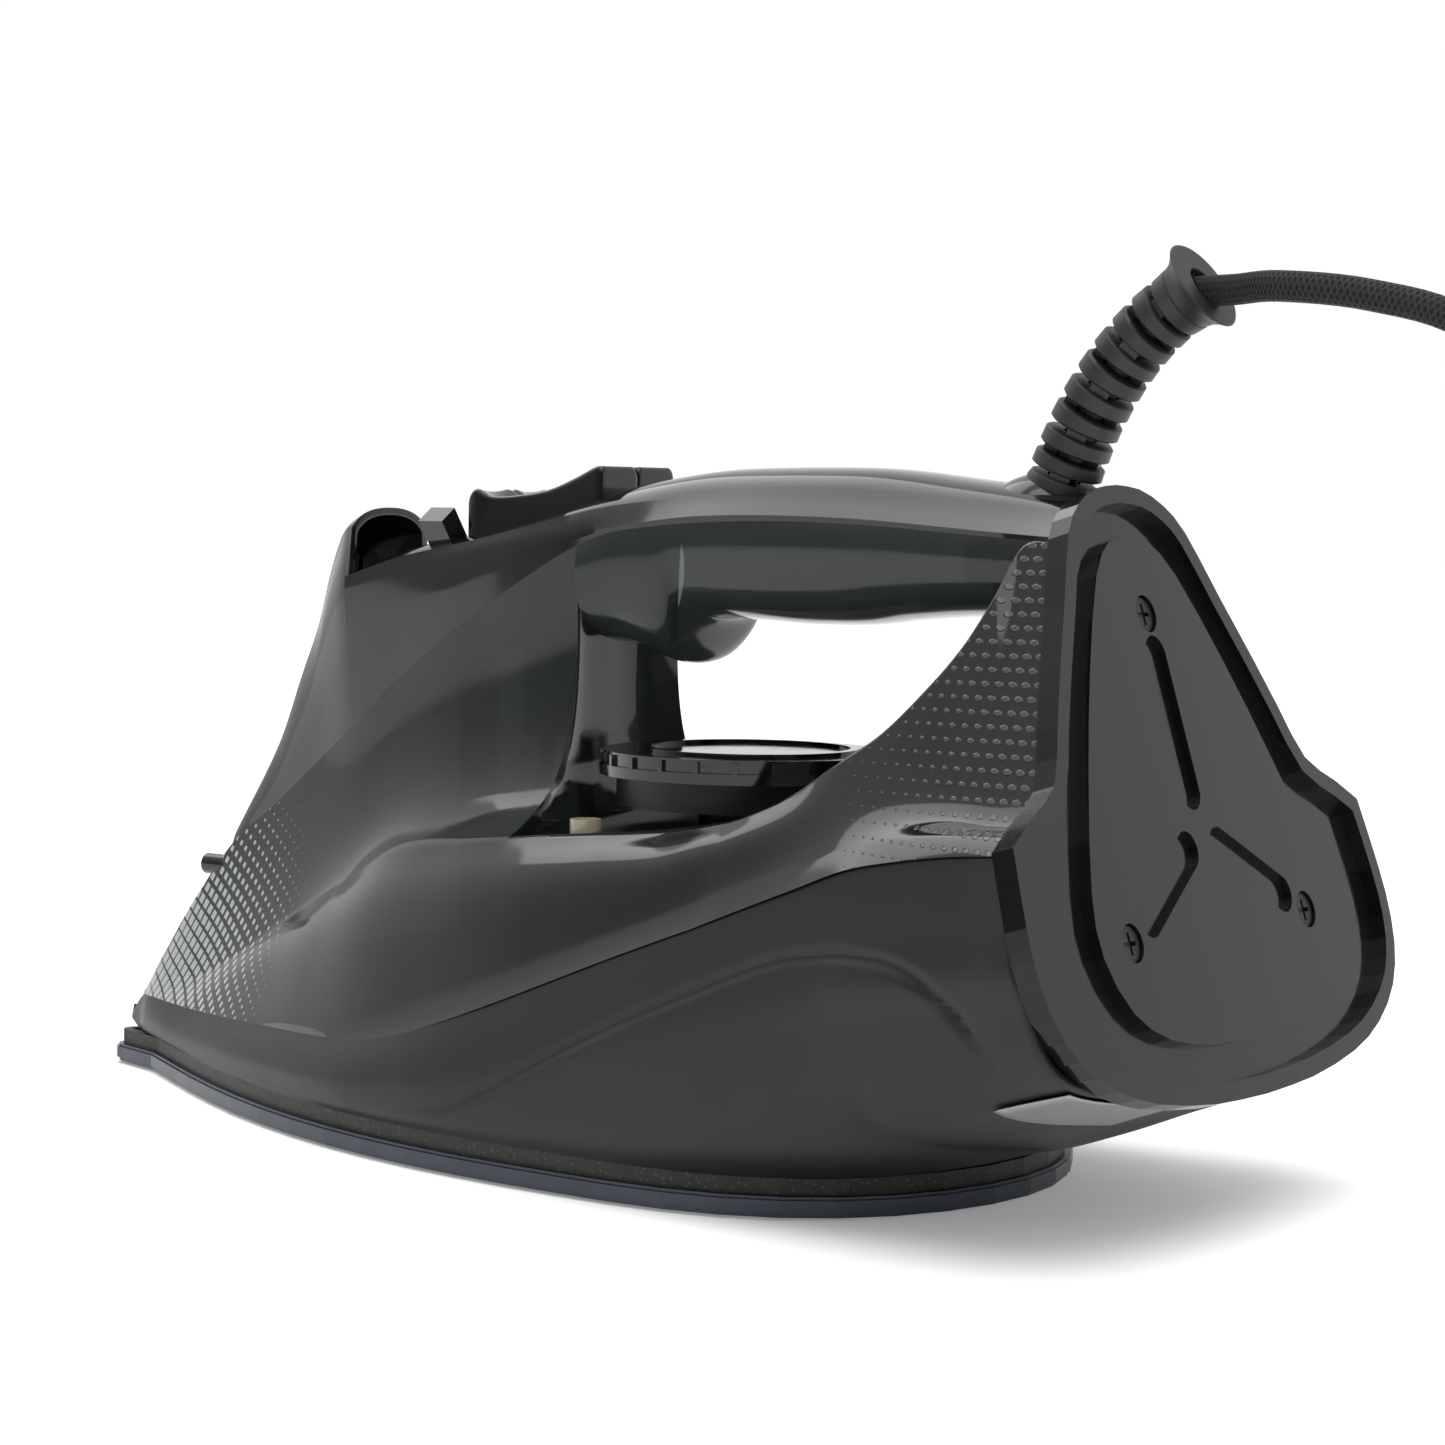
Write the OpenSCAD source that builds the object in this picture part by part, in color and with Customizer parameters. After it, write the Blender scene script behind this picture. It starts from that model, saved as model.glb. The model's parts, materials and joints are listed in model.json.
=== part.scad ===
// Steam iron with a smoky water tank, a cord that turns on a ball and a heel to stand on.
// The nose points to -X, the heel to +X, and the soleplate's face lies on Z = 0. Millimetres.

/* [Body] */
// Length from the nose of the soleplate to the back of the heel
body_len = 285; // [255:1:320]
// Width across the heel
body_w = 132; // [118:1:152]
// Height of the top of the handle
body_h = 134; // [122:1:152]
// Wall of the moulded shells
wall = 2.2; // [1.6:0.1:2.8]
// How far the heel stands behind the soleplate
heel_overhang = 47; // [38:1:56]
// How far the heel stands out beyond each side of the soleplate
side_overhang = 11; // [6:1:16]
// Lean of the heel away from the vertical
heel_lean = 17.2; // [14:0.2:19]
// Depth of the heel frame behind the shells
heel_depth = 4.3; // [3.6:0.1:5.5]

/* [Soleplate] */
// Thickness of the soleplate
sole_t = 3.8; // [3:0.1:5]
// Height of the heat-shield skirt
skirt_h = 3.2; // [2.6:0.1:4.5]
// Step from the soleplate's rim in to the skirt
skirt_step = 1.6; // [1:0.1:2.4]
// Step from the soleplate's rim in to the casting
casting_step = 9; // [8:0.5:12]
// Height of the steam chamber casting
casting_h = 8.6; // [8.2:0.1:9]
// Diameter of a steam hole
steam_hole_d = 3; // [2:0.1:3.6]
// Diameter of the tubular heating element
heater_d = 6.6; // [5.6:0.1:7]

/* [Controls] */
// Diameter of the temperature dial
dial_d = 59; // [48:1:62]
// Height of the temperature dial
dial_h = 4.6; // [3.6:0.1:5.2]
// Diameter of the dial's shaft
shaft_d = 6; // [4.5:0.1:7.5]
// Length of the two buttons
button_len = 34; // [29:1:36]
// Width of one button
button_w = 11.4; // [9.6:0.1:11.8]
// Travel of a button
button_travel = 3.5; // [2.5:0.1:4]
// Swing of the steam lever to each side
lever_swing = 38; // [30:1:40]
// Diameter of a pump's body
pump_d = 9.6; // [8:0.1:10.4]

/* [Cord] */
// Diameter of the cord
cord_d = 5.5; // [5:0.1:6.5]
// Diameter of the ball that the cord turns on
ball_d = 25; // [22:0.5:27]
// Diameter of the guard at the ball
guard_d = 13.6; // [12:0.1:15]
// Diameter of the guard's bell mouth
bell_d = 17.5; // [15.5:0.1:19]

/* [Fits] */
// Gap between a moving piece and what it moves in
fit = 0.25; // [0.15:0.01:0.4]
// Gap round a shaft or a pin
pin_fit = 0.06; // [0.03:0.01:0.1]
// Gap between two shells that meet at a seam
seam = 0.12; // [0.05:0.01:0.25]

/* [Hidden] */
eps = 0.01;

// Colours
smoke = [0.25, 0.28, 0.27, 0.75];
charcoal = [0.22, 0.22, 0.24];
gloss = [0.05, 0.05, 0.06];
metal = [0.36, 0.39, 0.45];

// ---- Curves ---------------------------------------------------------------------------------
function mix(a, b, t) = a + (b - a) * t;
function span(t, s, i = 0) = (i >= len(t) - 2 || s <= t[i + 1][0]) ? i : span(t, s, i + 1);
function slope(t, i, c) =
    let (a = max(i - 1, 0), b = min(i + 1, len(t) - 1))
    (t[b][c] - t[a][c]) / (t[b][0] - t[a][0]);
// Smooth value of column c in a table whose first column is the station
function curve(t, s, c) =
    let (i = span(t, s), a = t[i], b = t[i + 1], h = b[0] - a[0], u = (s - a[0]) / h)
    (2 * pow(u, 3) - 3 * pow(u, 2) + 1) * a[c] + (pow(u, 3) - 2 * pow(u, 2) + u) * slope(t, i, c) * h
    + (3 * pow(u, 2) - 2 * pow(u, 3)) * b[c] + (pow(u, 3) - pow(u, 2)) * slope(t, i + 1, c) * h;
// Smooth line through points, n steps to a span
function smooth(p, n) =
    let (t = [for (i = [0 : len(p) - 1]) concat([i], p[i])], last = len(p) - 1)
    [for (k = [0 : last * n]) [for (c = [1 : len(p[0])]) curve(t, k / n, c)]];
function bezier(a, b, c, d, n) =
    [for (k = [0 : n]) let (t = k / n, m = 1 - t)
        a * pow(m, 3) + 3 * b * pow(m, 2) * t + 3 * c * m * pow(t, 2) + d * pow(t, 3)];
function unit(v) = v / max(norm(v), eps);
// A closed outline moved in by d
function inset(p, d) =
    let (n = len(p))
    [for (i = [0 : n - 1])
        let (a = unit(p[i] - p[(i + n - 1) % n]), b = unit(p[(i + 1) % n] - p[i]), m = unit(a + b))
        p[i] + d / max(m * b, 0.5) * [-m[1], m[0]]];

// ---- Frame of the body ----------------------------------------------------------------------
// The shells are drawn by stations from the nose. ref_* are the sizes that the stations are drawn at.
ref_len = 280.7;
ref_w = 132;
ref_h = 134;
ref_floor = 7;
ref_end = 281;
lean_from = 200;
lean_z = 25;
sole_len = body_len - heel_overhang;
sole_w = body_w - 2 * side_overhang;
nose = -body_len / 2;
floor_z = sole_t + skirt_h;
kx = (body_len - heel_depth) / ref_len;
ky = body_w / ref_w;
kz = (body_h - floor_z) / (ref_h - ref_floor);
function at_x(x) = nose + x * kx;
function at_y(y) = y * ky;
function at_z(z) = floor_z + (z - ref_floor) * kz;
// A point at station x: behind lean_from the stations lean over towards the heel's plane
function place(x, y, z) =
    let (k = max(0, (x - lean_from) / (ref_end - lean_from)))
    [at_x(x) - tan(heel_lean) * (at_z(z) - at_z(lean_z)) * k, at_y(y), at_z(z)];

// Soleplate: half width at x from its nose
nose_r = 4.5;
widest = 0.71;
function sole_front(x) = sole_w / 2 * pow(max(1 - pow(1 - x / (widest * sole_len), 2.34), 0), 1.28);
function sole_stern(x) =
    sole_w / 2 * pow(max(1 - pow((x / sole_len - widest) / (1 - widest), 2.82), 0), 0.51);
function sole_tip(x) = x < nose_r ? sqrt(max(x * (2 * nose_r - x), 0)) : nose_r * max(0, 1 - (x - nose_r) / 30);
function sole_half(x) =
    x <= 0 || x >= sole_len ? 0
    : x < widest * sole_len ? pow(pow(sole_front(x), 3) + pow(sole_tip(x), 3), 1 / 3)
    : sole_stern(x);
tip_steps = 4;
side_steps = 13;
stern_steps = 9;
sole_x = concat(
    [for (i = [0 : tip_steps]) nose_r * (1 - cos(90 * i / tip_steps))],
    [for (i = [1 : side_steps]) mix(nose_r, widest * sole_len, (i / side_steps))],
    [for (i = [1 : stern_steps]) sole_len * mix(widest, 1, sin(90 * i / stern_steps))]);
sole_right = [for (x = sole_x) [nose + x, -sole_half(x)]];
sole_left = [for (i = [len(sole_x) - 2 : -1 : 1]) [nose + sole_x[i], sole_half(sole_x[i])]];
sole_outline = concat(sole_right, sole_left);
// Outline of a piece that stands d inside the soleplate's rim all round
function inner_outline(d) =
    let (a = 2.05 * d, b = sole_len - d,
        t = [for (i = [0 : 18]) let (x = mix(a, b, sin(90 * i / 18)))
            [nose + x, max(sole_half(x) - 1.06 * d, 1.5)]])
    concat([for (p = t) [p[0], -p[1]]], [for (i = [len(t) - 1 : -1 : 0]) t[i]]);

// Lower housing: station, seam y z, widest flank y z, underside z
hull = [
    [4, 0.8, 10.9, 1, 10, 9.2], [9, 2.6, 15.2, 3.4, 11, 7.4], [14, 5.5, 15.9, 7, 11, 7],
    [34, 14, 16.2, 17, 10.5, 7], [64, 27, 17.8, 31.5, 11.5, 7], [106, 43, 20.5, 48, 13, 7],
    [128, 48.7, 25, 52.6, 15, 7], [148, 51.5, 31.8, 55, 18, 7], [183, 54.5, 45.3, 57.5, 26, 7],
    [206, 56.2, 53.7, 59, 32, 7], [228, 57.8, 61, 60.5, 38, 7.5], [241, 58.7, 65, 61.8, 41, 9.4],
    [255, 59.8, 67.4, 63.2, 43.5, 14], [268, 61, 69, 64.6, 45.5, 19], [281, 62.5, 70, 66, 47, 23.6]];
// Sides above the seam: station, bevel y z, shoulder y z, crest y z
side = [
    [9, 2.4, 15.6, 2.2, 16, 1.8, 16.6], [14, 5.1, 16.6, 4.4, 18.2, 3.6, 20],
    [24, 9.3, 16.8, 7.8, 18.6, 6.2, 21.2], [34, 13.5, 17, 11.5, 19.5, 8.5, 23],
    [64, 26.6, 18.6, 21, 30, 14.5, 38.2], [85, 35.4, 19.9, 29, 37.5, 20.5, 48.8],
    [106, 42.4, 22, 37, 44, 28, 57], [128, 46, 29.3, 42, 49.5, 34, 60.5],
    [148, 48.5, 36.5, 45, 54, 37.5, 63.2], [165, 49.8, 43, 46.8, 57.5, 39.5, 65],
    [183, 51, 49.7, 48.5, 60.8, 41.5, 67], [195, 51.8, 54.3, 49.5, 63.8, 44, 69],
    [206, 52.7, 58.6, 50, 66.6, 45.5, 71.5], [217, 53.5, 62, 49.6, 70, 44.8, 75.5],
    [228, 54.3, 65, 48.6, 73.5, 43, 81.5], [238, 55, 67.6, 47.6, 75.8, 40, 87],
    [247, 56, 69.5, 47, 77, 37, 93.5], [258, 57.2, 71, 46.7, 78, 33, 102.3],
    [266, 58.2, 71.8, 46.5, 78.5, 28, 111.2], [272, 59, 72.2, 46.5, 78.5, 21.5, 120],
    [281, 60, 72.5, 46.5, 78.5, 20, 121]];
// Seam between the smoky shells and the black cover: station, y z
seam_line = [
    [9, 1, 17.8], [14, 1.4, 24.5], [24, 1.5, 38], [36, 2.1, 51.3], [50, 4.2, 60.5], [64, 7, 70],
    [80, 10.8, 80.5], [92, 12.6, 89.5], [106, 14.5, 98.5], [117, 15.5, 105], [128, 16.5, 111],
    [143, 17, 118.5], [154, 17, 121.5], [182, 17.5, 123.6], [221, 17.8, 123.2], [243, 18.2, 122.3],
    [264, 19, 121.5], [281, 20, 120.8]];
// Inner corner where the shoulder turns up into the column: station, y z
foot = [
    [9, 1.3, 17.2], [14, 2.6, 22], [24, 3.6, 29], [34, 4.5, 34], [64, 8.5, 54], [85, 11.5, 62],
    [106, 13.5, 68], [128, 14, 71.5], [143, 14, 73]];
// Cover: station, side edge y z, top edge y z, middle z
cover = [
    [36, 1.7, 52.4, 1.3, 53.3, 54.2], [50, 4.1, 66, 3.1, 72, 75.5], [58, 5.8, 77, 4.4, 88, 92],
    [64, 7.4, 88, 5.4, 100, 104], [68, 8.8, 96, 6.6, 110, 113.5], [72, 10.5, 101, 8.6, 116, 119.6],
    [76, 12.2, 105, 10.6, 120, 123.4], [79, 13, 107.5, 11.8, 120.8, 125]];
platform = [
    [79.5, 13.2, 107.8, 13, 111, 112.4], [92, 14, 111, 13.6, 114.6, 117], [104, 14.8, 114, 14, 117, 119.6],
    [116, 15.5, 117, 14.5, 119.2, 121.6], [129, 16.3, 119, 15, 122, 124.4], [143, 17, 120.6, 15, 125, 128.8],
    [154, 17.3, 122.4, 14.5, 126.6, 131.3], [169, 17.6, 124.2, 13.5, 128, 133.4],
    [185, 17.8, 124.8, 13.5, 128.8, 134], [205, 17.8, 124.6, 13.5, 128.6, 134],
    [221, 18, 124.2, 13.5, 128.2, 133.4], [243, 18.5, 123.3, 13.5, 127.4, 132],
    [264, 19, 122.4, 13.5, 126.5, 130.6], [281, 19.6, 121.8, 13.5, 125.6, 129]];
// Underside of the grip with its finger stop: station, z
belly = [
    [143, 99.3], [150, 98.6], [155, 96.9], [159, 95.6], [162, 95.9], [164, 98.4], [165.5, 103],
    [168, 104.8], [178, 104.4], [190, 104], [205, 104.4], [220, 105.6], [240, 106.6], [266, 107]];
// Floor between the lips behind the column: station, drop of the lip's inner edge, middle z
deck = [
    [143, 0.8, 65.4], [165, 1, 66], [183, 1.2, 66.6], [200, 2, 68], [206, 2.4, 69], [217, 3, 71.4],
    [228, 3.4, 76.4], [238, 3.6, 81], [247, 3.8, 86.5], [257, 4, 94.5], [262, 4, 101.2], [265, 4, 105.4],
    [269, 4, 106], [281, 4, 106.2]];
lip_w = 2.6;

// ---- Sections, each a half line from the top outer edge to the middle -------------------------
function keel(x) =
    let (s = x * kx, h = sole_half(s) - skirt_step)
    max(h, 2) / ky;
function hull_half(x) =
    let (yt = curve(hull, x, 1), zt = curve(hull, x, 2), yf = curve(hull, x, 3), zf = curve(hull, x, 4),
        zb = curve(hull, x, 5), yb = min(keel(x), yf - 0.2))
    concat(smooth([[yt, zt], [mix(yt, yf, 0.62), mix(zt, zf, 0.5)], [yf, zf],
        [mix(yb, yf, 0.85), mix(zb, zf, 0.35)], [yb, zb]], 2), [[0.3, zb + 0.2]]);
function side_run(x) = smooth([[curve(side, x, 1), curve(side, x, 2)], [curve(side, x, 3), curve(side, x, 4)],
    [curve(side, x, 5), curve(side, x, 6)]], 3);
function seam_at(x) = [curve(seam_line, x, 1), curve(seam_line, x, 2)];
function hull_top(x) = [curve(hull, x, 1), curve(hull, x, 2)];
// Foot of the shells that stand on the housing, and a lining whose foot is level with its skin
foot_gap = 0.35;
function stand(x) = hull_top(x) + [0, foot_gap];
function level(h, z) = [for (i = [0 : len(h) - 1]) i == 0 ? [h[0][0], z] : h[i]];
function tank_half(x) =
    let (c = [curve(side, x, 5), curve(side, x, 6)], f = [curve(foot, x, 1), curve(foot, x, 2)], s = seam_at(x),
        turn = bezier(c, mix(c, f, 0.8), mix(s, f, 0.8), s, 6))
    concat([stand(x)], side_run(x), [for (i = [1 : 6]) turn[i]], [[0.3, s[1] + (x < 34 ? 0.8 : 0.3)]]);
function rear_half(x) =
    let (c = [curve(side, x, 5), curve(side, x, 6)], d = curve(deck, x, 1), z = curve(deck, x, 2),
        in = [c[0] - lip_w, c[1] - d])
    concat([stand(x)], side_run(x), [[c[0] - lip_w / 2, c[1] + 0.1], in,
        [mix(in[0], 0, 0.35), mix(in[1], z, 0.75)], [mix(in[0], 0, 0.7), z], [0.3, z]]);
function cover_half(t, x) =
    let (s = seam_at(x), a = [curve(t, x, 1), curve(t, x, 2)], b = [curve(t, x, 3), curve(t, x, 4)],
        top = curve(t, x, 5))
    [s, mix(s, a, 0.5), a, b, [b[0] * 0.72, mix(b[1], top, 0.5)], [b[0] * 0.4, mix(b[1], top, 0.85)],
        [0.3, top]];
function grip_half(x, drop = 0) =
    let (s = seam_at(x), z = curve(belly, x, 1) + drop, w = s[0] + 0.9)
    concat([s], bezier([w, s[1] - 3], [w + 0.6, mix(s[1], z, 0.65)], [w * 0.8, z], [0.3, z], 6));

// ---- Shells ---------------------------------------------------------------------------------
// A half line moved inwards by w. out is 1 for a line that runs down from its first point,
// -1 for one that climbs
function thin(h, w, out) =
    [for (i = [0 : len(h) - 1])
        let (a = h[max(i - 1, 0)], b = h[min(i + 1, len(h) - 1)], t = unit(b - a))
        [max(h[i][0] + out * t[1] * w / ky, 0.3), h[i][1] - out * t[0] * w / kz]];
// The same for a line that climbs to its last point, kept from folding where the shell is narrow
function thin_up(h, w) =
    let (t = thin(h, w, -1), n = len(t) - 1)
    [for (i = [0 : n]) [max(t[i][0], 0.3 + 0.05 * (n - i)), min(t[i][1], t[n][1] - 0.25 * (n - i))]];
function whole(h, x) =
    concat([for (p = h) place(x, p[0], p[1])], [for (i = [len(h) - 1 : -1 : 0]) place(x, -h[i][0], h[i][1])]);
// Triangles between two rows of a grid whose rows start at a and b
function halves(q) = [[q[0], q[1], q[2]], [q[0], q[2], q[3]]];
function strip(a, b, n) = [for (k = [0 : n - 2]) each halves([a + k, a + k + 1, b + k + 1, b + k])];
function flip(f) = [for (q = f) [for (i = [len(q) - 1 : -1 : 0]) q[i]]];
function ladder(a, n) = [for (k = [0 : n / 2 - 2]) [a + k, a + n - 1 - k, a + n - 2 - k, a + k + 1]];
// A shell between an outer and an inner stack of sections, open along its edge.
// front and rear say whether that end is closed by a wall.
module shell(outer, inner, front, rear) {
    m = len(outer);
    n = len(outer[0]);
    skin = [for (i = [0 : m - 2]) each strip(i * n, (i + 1) * n, n)];
    lining = [for (i = [0 : m - 2]) each strip((m + i) * n, (m + i + 1) * n, n)];
    edge = [for (i = [0 : m - 2]) each concat(
        halves([i * n, (i + 1) * n, (m + i + 1) * n, (m + i) * n]),
        halves([i * n + n - 1, (m + i) * n + n - 1, (m + i + 1) * n + n - 1, (i + 1) * n + n - 1]))];
    a = (m - 1) * n;
    b = (2 * m - 1) * n;
    nose_end = front ? concat(ladder(0, n), flip(ladder(m * n, n)), halves([0, m * n, m * n + n - 1, n - 1]))
        : flip(strip(0, m * n, n));
    heel_end = rear ? concat(flip(ladder(a, n)), ladder(b, n), halves([a, a + n - 1, b + n - 1, b]))
        : strip(a, b, n);
    polyhedron(concat([for (s = outer) each s], [for (s = inner) each s]),
        concat(skin, flip(lining), edge, nose_end, heel_end), convexity = 8);
}
// A solid through a stack of closed sections that run anticlockwise about the stack's direction
module solid_stack(rows) {
    m = len(rows);
    n = len(rows[0]);
    faces = [for (i = [0 : m - 2], k = [0 : n - 1])
        each halves([i * n + k, (i + 1) * n + k, (i + 1) * n + (k + 1) % n, i * n + (k + 1) % n])];
    polyhedron([for (s = rows) each s],
        concat(faces, [[for (k = [0 : n - 1]) k], [for (k = [n - 1 : -1 : 0]) (m - 1) * n + k]]), convexity = 6);
}
// Frame across a path at point i
function along(p, i) = unit(p[min(i + 1, len(p) - 1)] - p[max(i - 1, 0)]);
function ring_at(c, t, r, n) =
    let (up = abs(t[2]) > 0.9 ? [0, 1, 0] : [0, 0, 1], u = unit(cross(up, t)), v = cross(t, u))
    [for (k = [0 : n - 1]) c + r * (u * cos(360 * k / n) + v * sin(360 * k / n))];
// A round tube of radius r swept along a path
module sweep(path, r, n = 8) {
    solid_stack([for (i = [0 : len(path) - 1]) ring_at(path[i], along(path, i), r, n)]);
}
module rod(d, h) cylinder(d = d, h = h, $fn = 48);
module tube(d, bore, h) {
    difference() {
        rod(d, h);
        translate([0, 0, -1]) rod(bore, h + 2);
    }
}

// ---- Soleplate and steam chamber ------------------------------------------------------------
hole_inset = 14;
casting_outline = inner_outline(casting_step);
chamber_top = sole_t + casting_h;
cover_t = 1.4;
seal_t = 0.8;
bend_x = nose + 74 * kx;
bend_r = 15;
leg_turn = 7;
leg_len = sole_len - 102 * kx;
heater_z = sole_t + casting_h / 2;
// Rows of steam holes that follow the rim towards the nose
hole_stations = [26, 38, 50, 62, 74, 86, 100, 116, 132];
module soleplate() color(metal) difference() {
    union() {
        linear_extrude(0.8) polygon(inset(sole_outline, 0.6));
        translate([0, 0, 0.8]) linear_extrude(sole_t - 1.4) polygon(sole_outline);
        translate([0, 0, sole_t - 0.6]) linear_extrude(0.6) polygon(inset(sole_outline, 0.5));
    }
    for (x = hole_stations, s = [-1, 1])
        translate([nose + x, s * max(sole_half(x) - hole_inset, 0), -1]) rod(steam_hole_d, sole_t + 2);
}
module skirt() color([0.16, 0.16, 0.14]) translate([0, 0, sole_t]) linear_extrude(skirt_h) difference() {
    polygon(inset(sole_outline, skirt_step));
    polygon(inset(sole_outline, skirt_step + 1.8));
}
// The heating element's line, as the solid d thick
module heater_line(d) translate([0, 0, heater_z]) {
    translate([bend_x, 0, 0]) rotate([0, 0, 90 + leg_turn])
        rotate_extrude(angle = 180 - 2 * leg_turn, $fn = 96) translate([bend_r, 0]) circle(d = d, $fn = 40);
    for (s = [-1, 1])
        translate([bend_x - bend_r * sin(leg_turn), s * bend_r * cos(leg_turn), 0])
            rotate([0, 90, s * leg_turn]) translate([0, 0, -0.6]) rod(d - 0.1, leg_len);
}
heater_pin_d = 4;
heater_end = [bend_x - bend_r * sin(leg_turn) + (leg_len - 5) * cos(leg_turn),
    bend_r * cos(leg_turn) + (leg_len - 5) * sin(leg_turn)];
module heater_pins(d) for (s = [-1, 1]) translate([heater_end[0], s * heater_end[1], heater_z]) rod(d, 13);
// A square channel for the element, open at the top
module heater_groove() {
    w = heater_d + 2 * pin_fit;
    lo = heater_z - w / 2;
    for (s = [-1, 1])
        translate([bend_x - bend_r * sin(leg_turn), s * bend_r * cos(leg_turn), lo])
            rotate([0, 0, s * leg_turn]) translate([-0.6, -w / 2 + 0.02, 0])
                cube([leg_len + 1, w - 0.04, casting_h]);
    translate([bend_x, 0, lo]) rotate([0, 0, 90 + leg_turn])
        rotate_extrude(angle = 180 - 2 * leg_turn, $fn = 96)
            translate([bend_r - w / 2, 0]) square([w, casting_h]);
}
module steam_casting() color([0.62, 0.63, 0.64]) difference() {
    translate([0, 0, sole_t]) linear_extrude(casting_h) polygon(casting_outline);
    heater_groove();
    translate([0, 0, sole_t + 3]) linear_extrude(casting_h) polygon([
        [bend_x - 2, -6], [bend_x + 60, -12], [bend_x + 60, 12], [bend_x - 2, 6]]);
}
module heating_element() color([0.45, 0.42, 0.4]) {
    heater_line(heater_d);
    heater_pins(heater_pin_d);
}
module chamber_seal() color([0.6, 0.25, 0.18]) translate([0, 0, chamber_top]) linear_extrude(seal_t)
    difference() {
        polygon(inner_outline(casting_step + 1));
        polygon(inner_outline(casting_step + 3.4));
    }
module chamber_cover() color([0.72, 0.73, 0.74]) translate([0, 0, chamber_top + seal_t]) difference() {
    linear_extrude(cover_t) polygon(inner_outline(casting_step + 1));
    translate([valve_x, 0, -1]) rod(seat_d + 2 * fit, cover_t + 2);
    translate([0, 0, -chamber_top]) heater_pins(heater_pin_d + 2);
}
cover_top = chamber_top + seal_t + cover_t;

// ---- Lower housing --------------------------------------------------------------------------
hull_stations = [4, 9, 14, 24, 34, 49, 64, 85, 106, 128, 148, 166, 183, 195, 206, 217, 228, 235, 241, 248, 255,
    262, 268, 275, 281];
function shifted(x, from, by, to) = mix(from + by, to, (x - from) / (to - from));
hull_outer = [for (x = hull_stations) whole(hull_half(x), x)];
hull_inner = [for (x = hull_stations) let (v = shifted(x, 4, 8, ref_end)) whole(thin(hull_half(v), wall, 1), v)];
module lower_housing() color(charcoal) difference() {
    shell(hull_outer, hull_inner, true, false);
    translate([0, 0, floor_z - 3]) linear_extrude(wall + 6) polygon(inner_outline(casting_step - 1.5));
}
// The plate that carries the electrical pieces, inside the housing
plate_z = at_z(27);
plate_t = 2;
module chassis_plate() color([0.5, 0.48, 0.42]) {
    difference() {
        translate([at_x(160), -at_y(46), plate_z]) cube([at_x(248) - at_x(160), at_y(92), plate_t]);
        translate([dial_x, 0, plate_z - 1]) rod(22, plate_t + 2);
    }
    for (x = [168, 226], s = [-1, 1])
        translate([at_x(x), s * at_y(38), cover_top + 0.1]) rod(6, plate_z + 0.5 - cover_top);
}
// A blank foil low on the left flank in front of the heel
label_out = 0.25;
label_gap = 0.4;
label_rows = [for (x = [244 : 4 : 272]) let (h = thin(hull_half(x), -label_gap, 1))
    [for (k = [7, 6, 5]) place(x, -h[k][0], h[k][1])]];
label_cover = [for (x = [244 : 4 : 272]) let (h = thin(hull_half(x), -label_gap - label_out, 1))
    [for (k = [5, 6, 7]) place(x, -h[k][0], h[k][1])]];
module rating_label() color([0.6, 0.61, 0.63])
    solid_stack([for (i = [0 : len(label_rows) - 1]) concat(label_cover[i], label_rows[i])]);

// ---- Water tank and column --------------------------------------------------------------------
tank_end = 118;
column_end = 143;
tank_stations = [9, 14, 19, 24, 34, 44, 54, 64, 74, 85, 95, 106, tank_end];
column_stations = [tank_end, 124, 130, 137, column_end];
tank_outer = [for (x = tank_stations) whole(tank_half(x), x)];
tank_inner = [for (x = tank_stations) let (v = mix(19, tank_end - wall, (x - 9) / (tank_end - 9)))
    whole(level(thin_up(tank_half(v), wall), stand(v)[1]), v)];
valve_x = at_x(104);
filler_x = at_x(87);
neck_d = 13;
neck_bore = 10;
function seam_z(x) = at_z(seam_at(x)[1]);
module water_tank() color(smoke) difference() {
    shell(tank_outer, tank_inner, true, true);
    translate([valve_x, 0, seam_z(104) - 9]) rod(valve_tube_d + 2 * pin_fit, 20);
    translate([filler_x, 0, seam_z(87) - 12]) rod(neck_d + 2 * pin_fit, 24);
    translate([nozzle_x - 2, 0, nozzle_z]) rotate([0, 90, 0]) rod(nozzle_d + 2 * pin_fit, 11.2);
    translate([valve_x - lever_t / 2 - 0.8, 0, pivot_z]) rotate([0, 90, 0])
        rod(2 * (cam_r + cam_e + 0.7), lever_t + 1.6);
}
base_stations = [24, 34, 49, 64, 85, 106, tank_end - wall - 0.4];
base_t = 2;
module tank_base() color(smoke) difference() {
    solid_stack([for (x = base_stations)
        let (k = thin_up(tank_half(x), wall), a = [k[0][0] - 1.7, stand(x)[1]], z = at_z(a[1]) + 0.2,
            b = mix(k[0], k[2], base_t / kz / (k[2][1] - k[0][1])) - [1.7, 0])
        [[at_x(x), -at_y(a[0]), z], [at_x(x), -at_y(b[0]), z + base_t], [at_x(x), at_y(b[0]), z + base_t],
            [at_x(x), at_y(a[0]), z]]]);
    translate([valve_x, 0, 0]) rod(seat_d + 2 * pin_fit, 60);
}
baffle_t = 1.6;
module tank_baffles() color(smoke) for (x = [74, 92]) {
    h = tank_half(x);
    k = thin(h, wall + 0.5, -1);
    lo = at_z(hull_top(x)[1]) + base_t + 1.2;
    gap = seam_z(x) - (x == 92 ? 16 : 24);
    y = at_y(k[4][0]) - 1;
    translate([at_x(x), -y, lo]) cube([baffle_t, 2 * y, max(gap * 0.5 - lo, 8)]);
}
column_outer = [for (x = column_stations) whole(tank_half(x), x)];
column_inner = [for (x = column_stations)
    let (v = mix(tank_end, column_end - wall, (x - tank_end) / (column_end - tank_end)))
    whole(level(thin_up(tank_half(v), wall), stand(v)[1]), v)];
shaft_w = 11.6;
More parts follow.
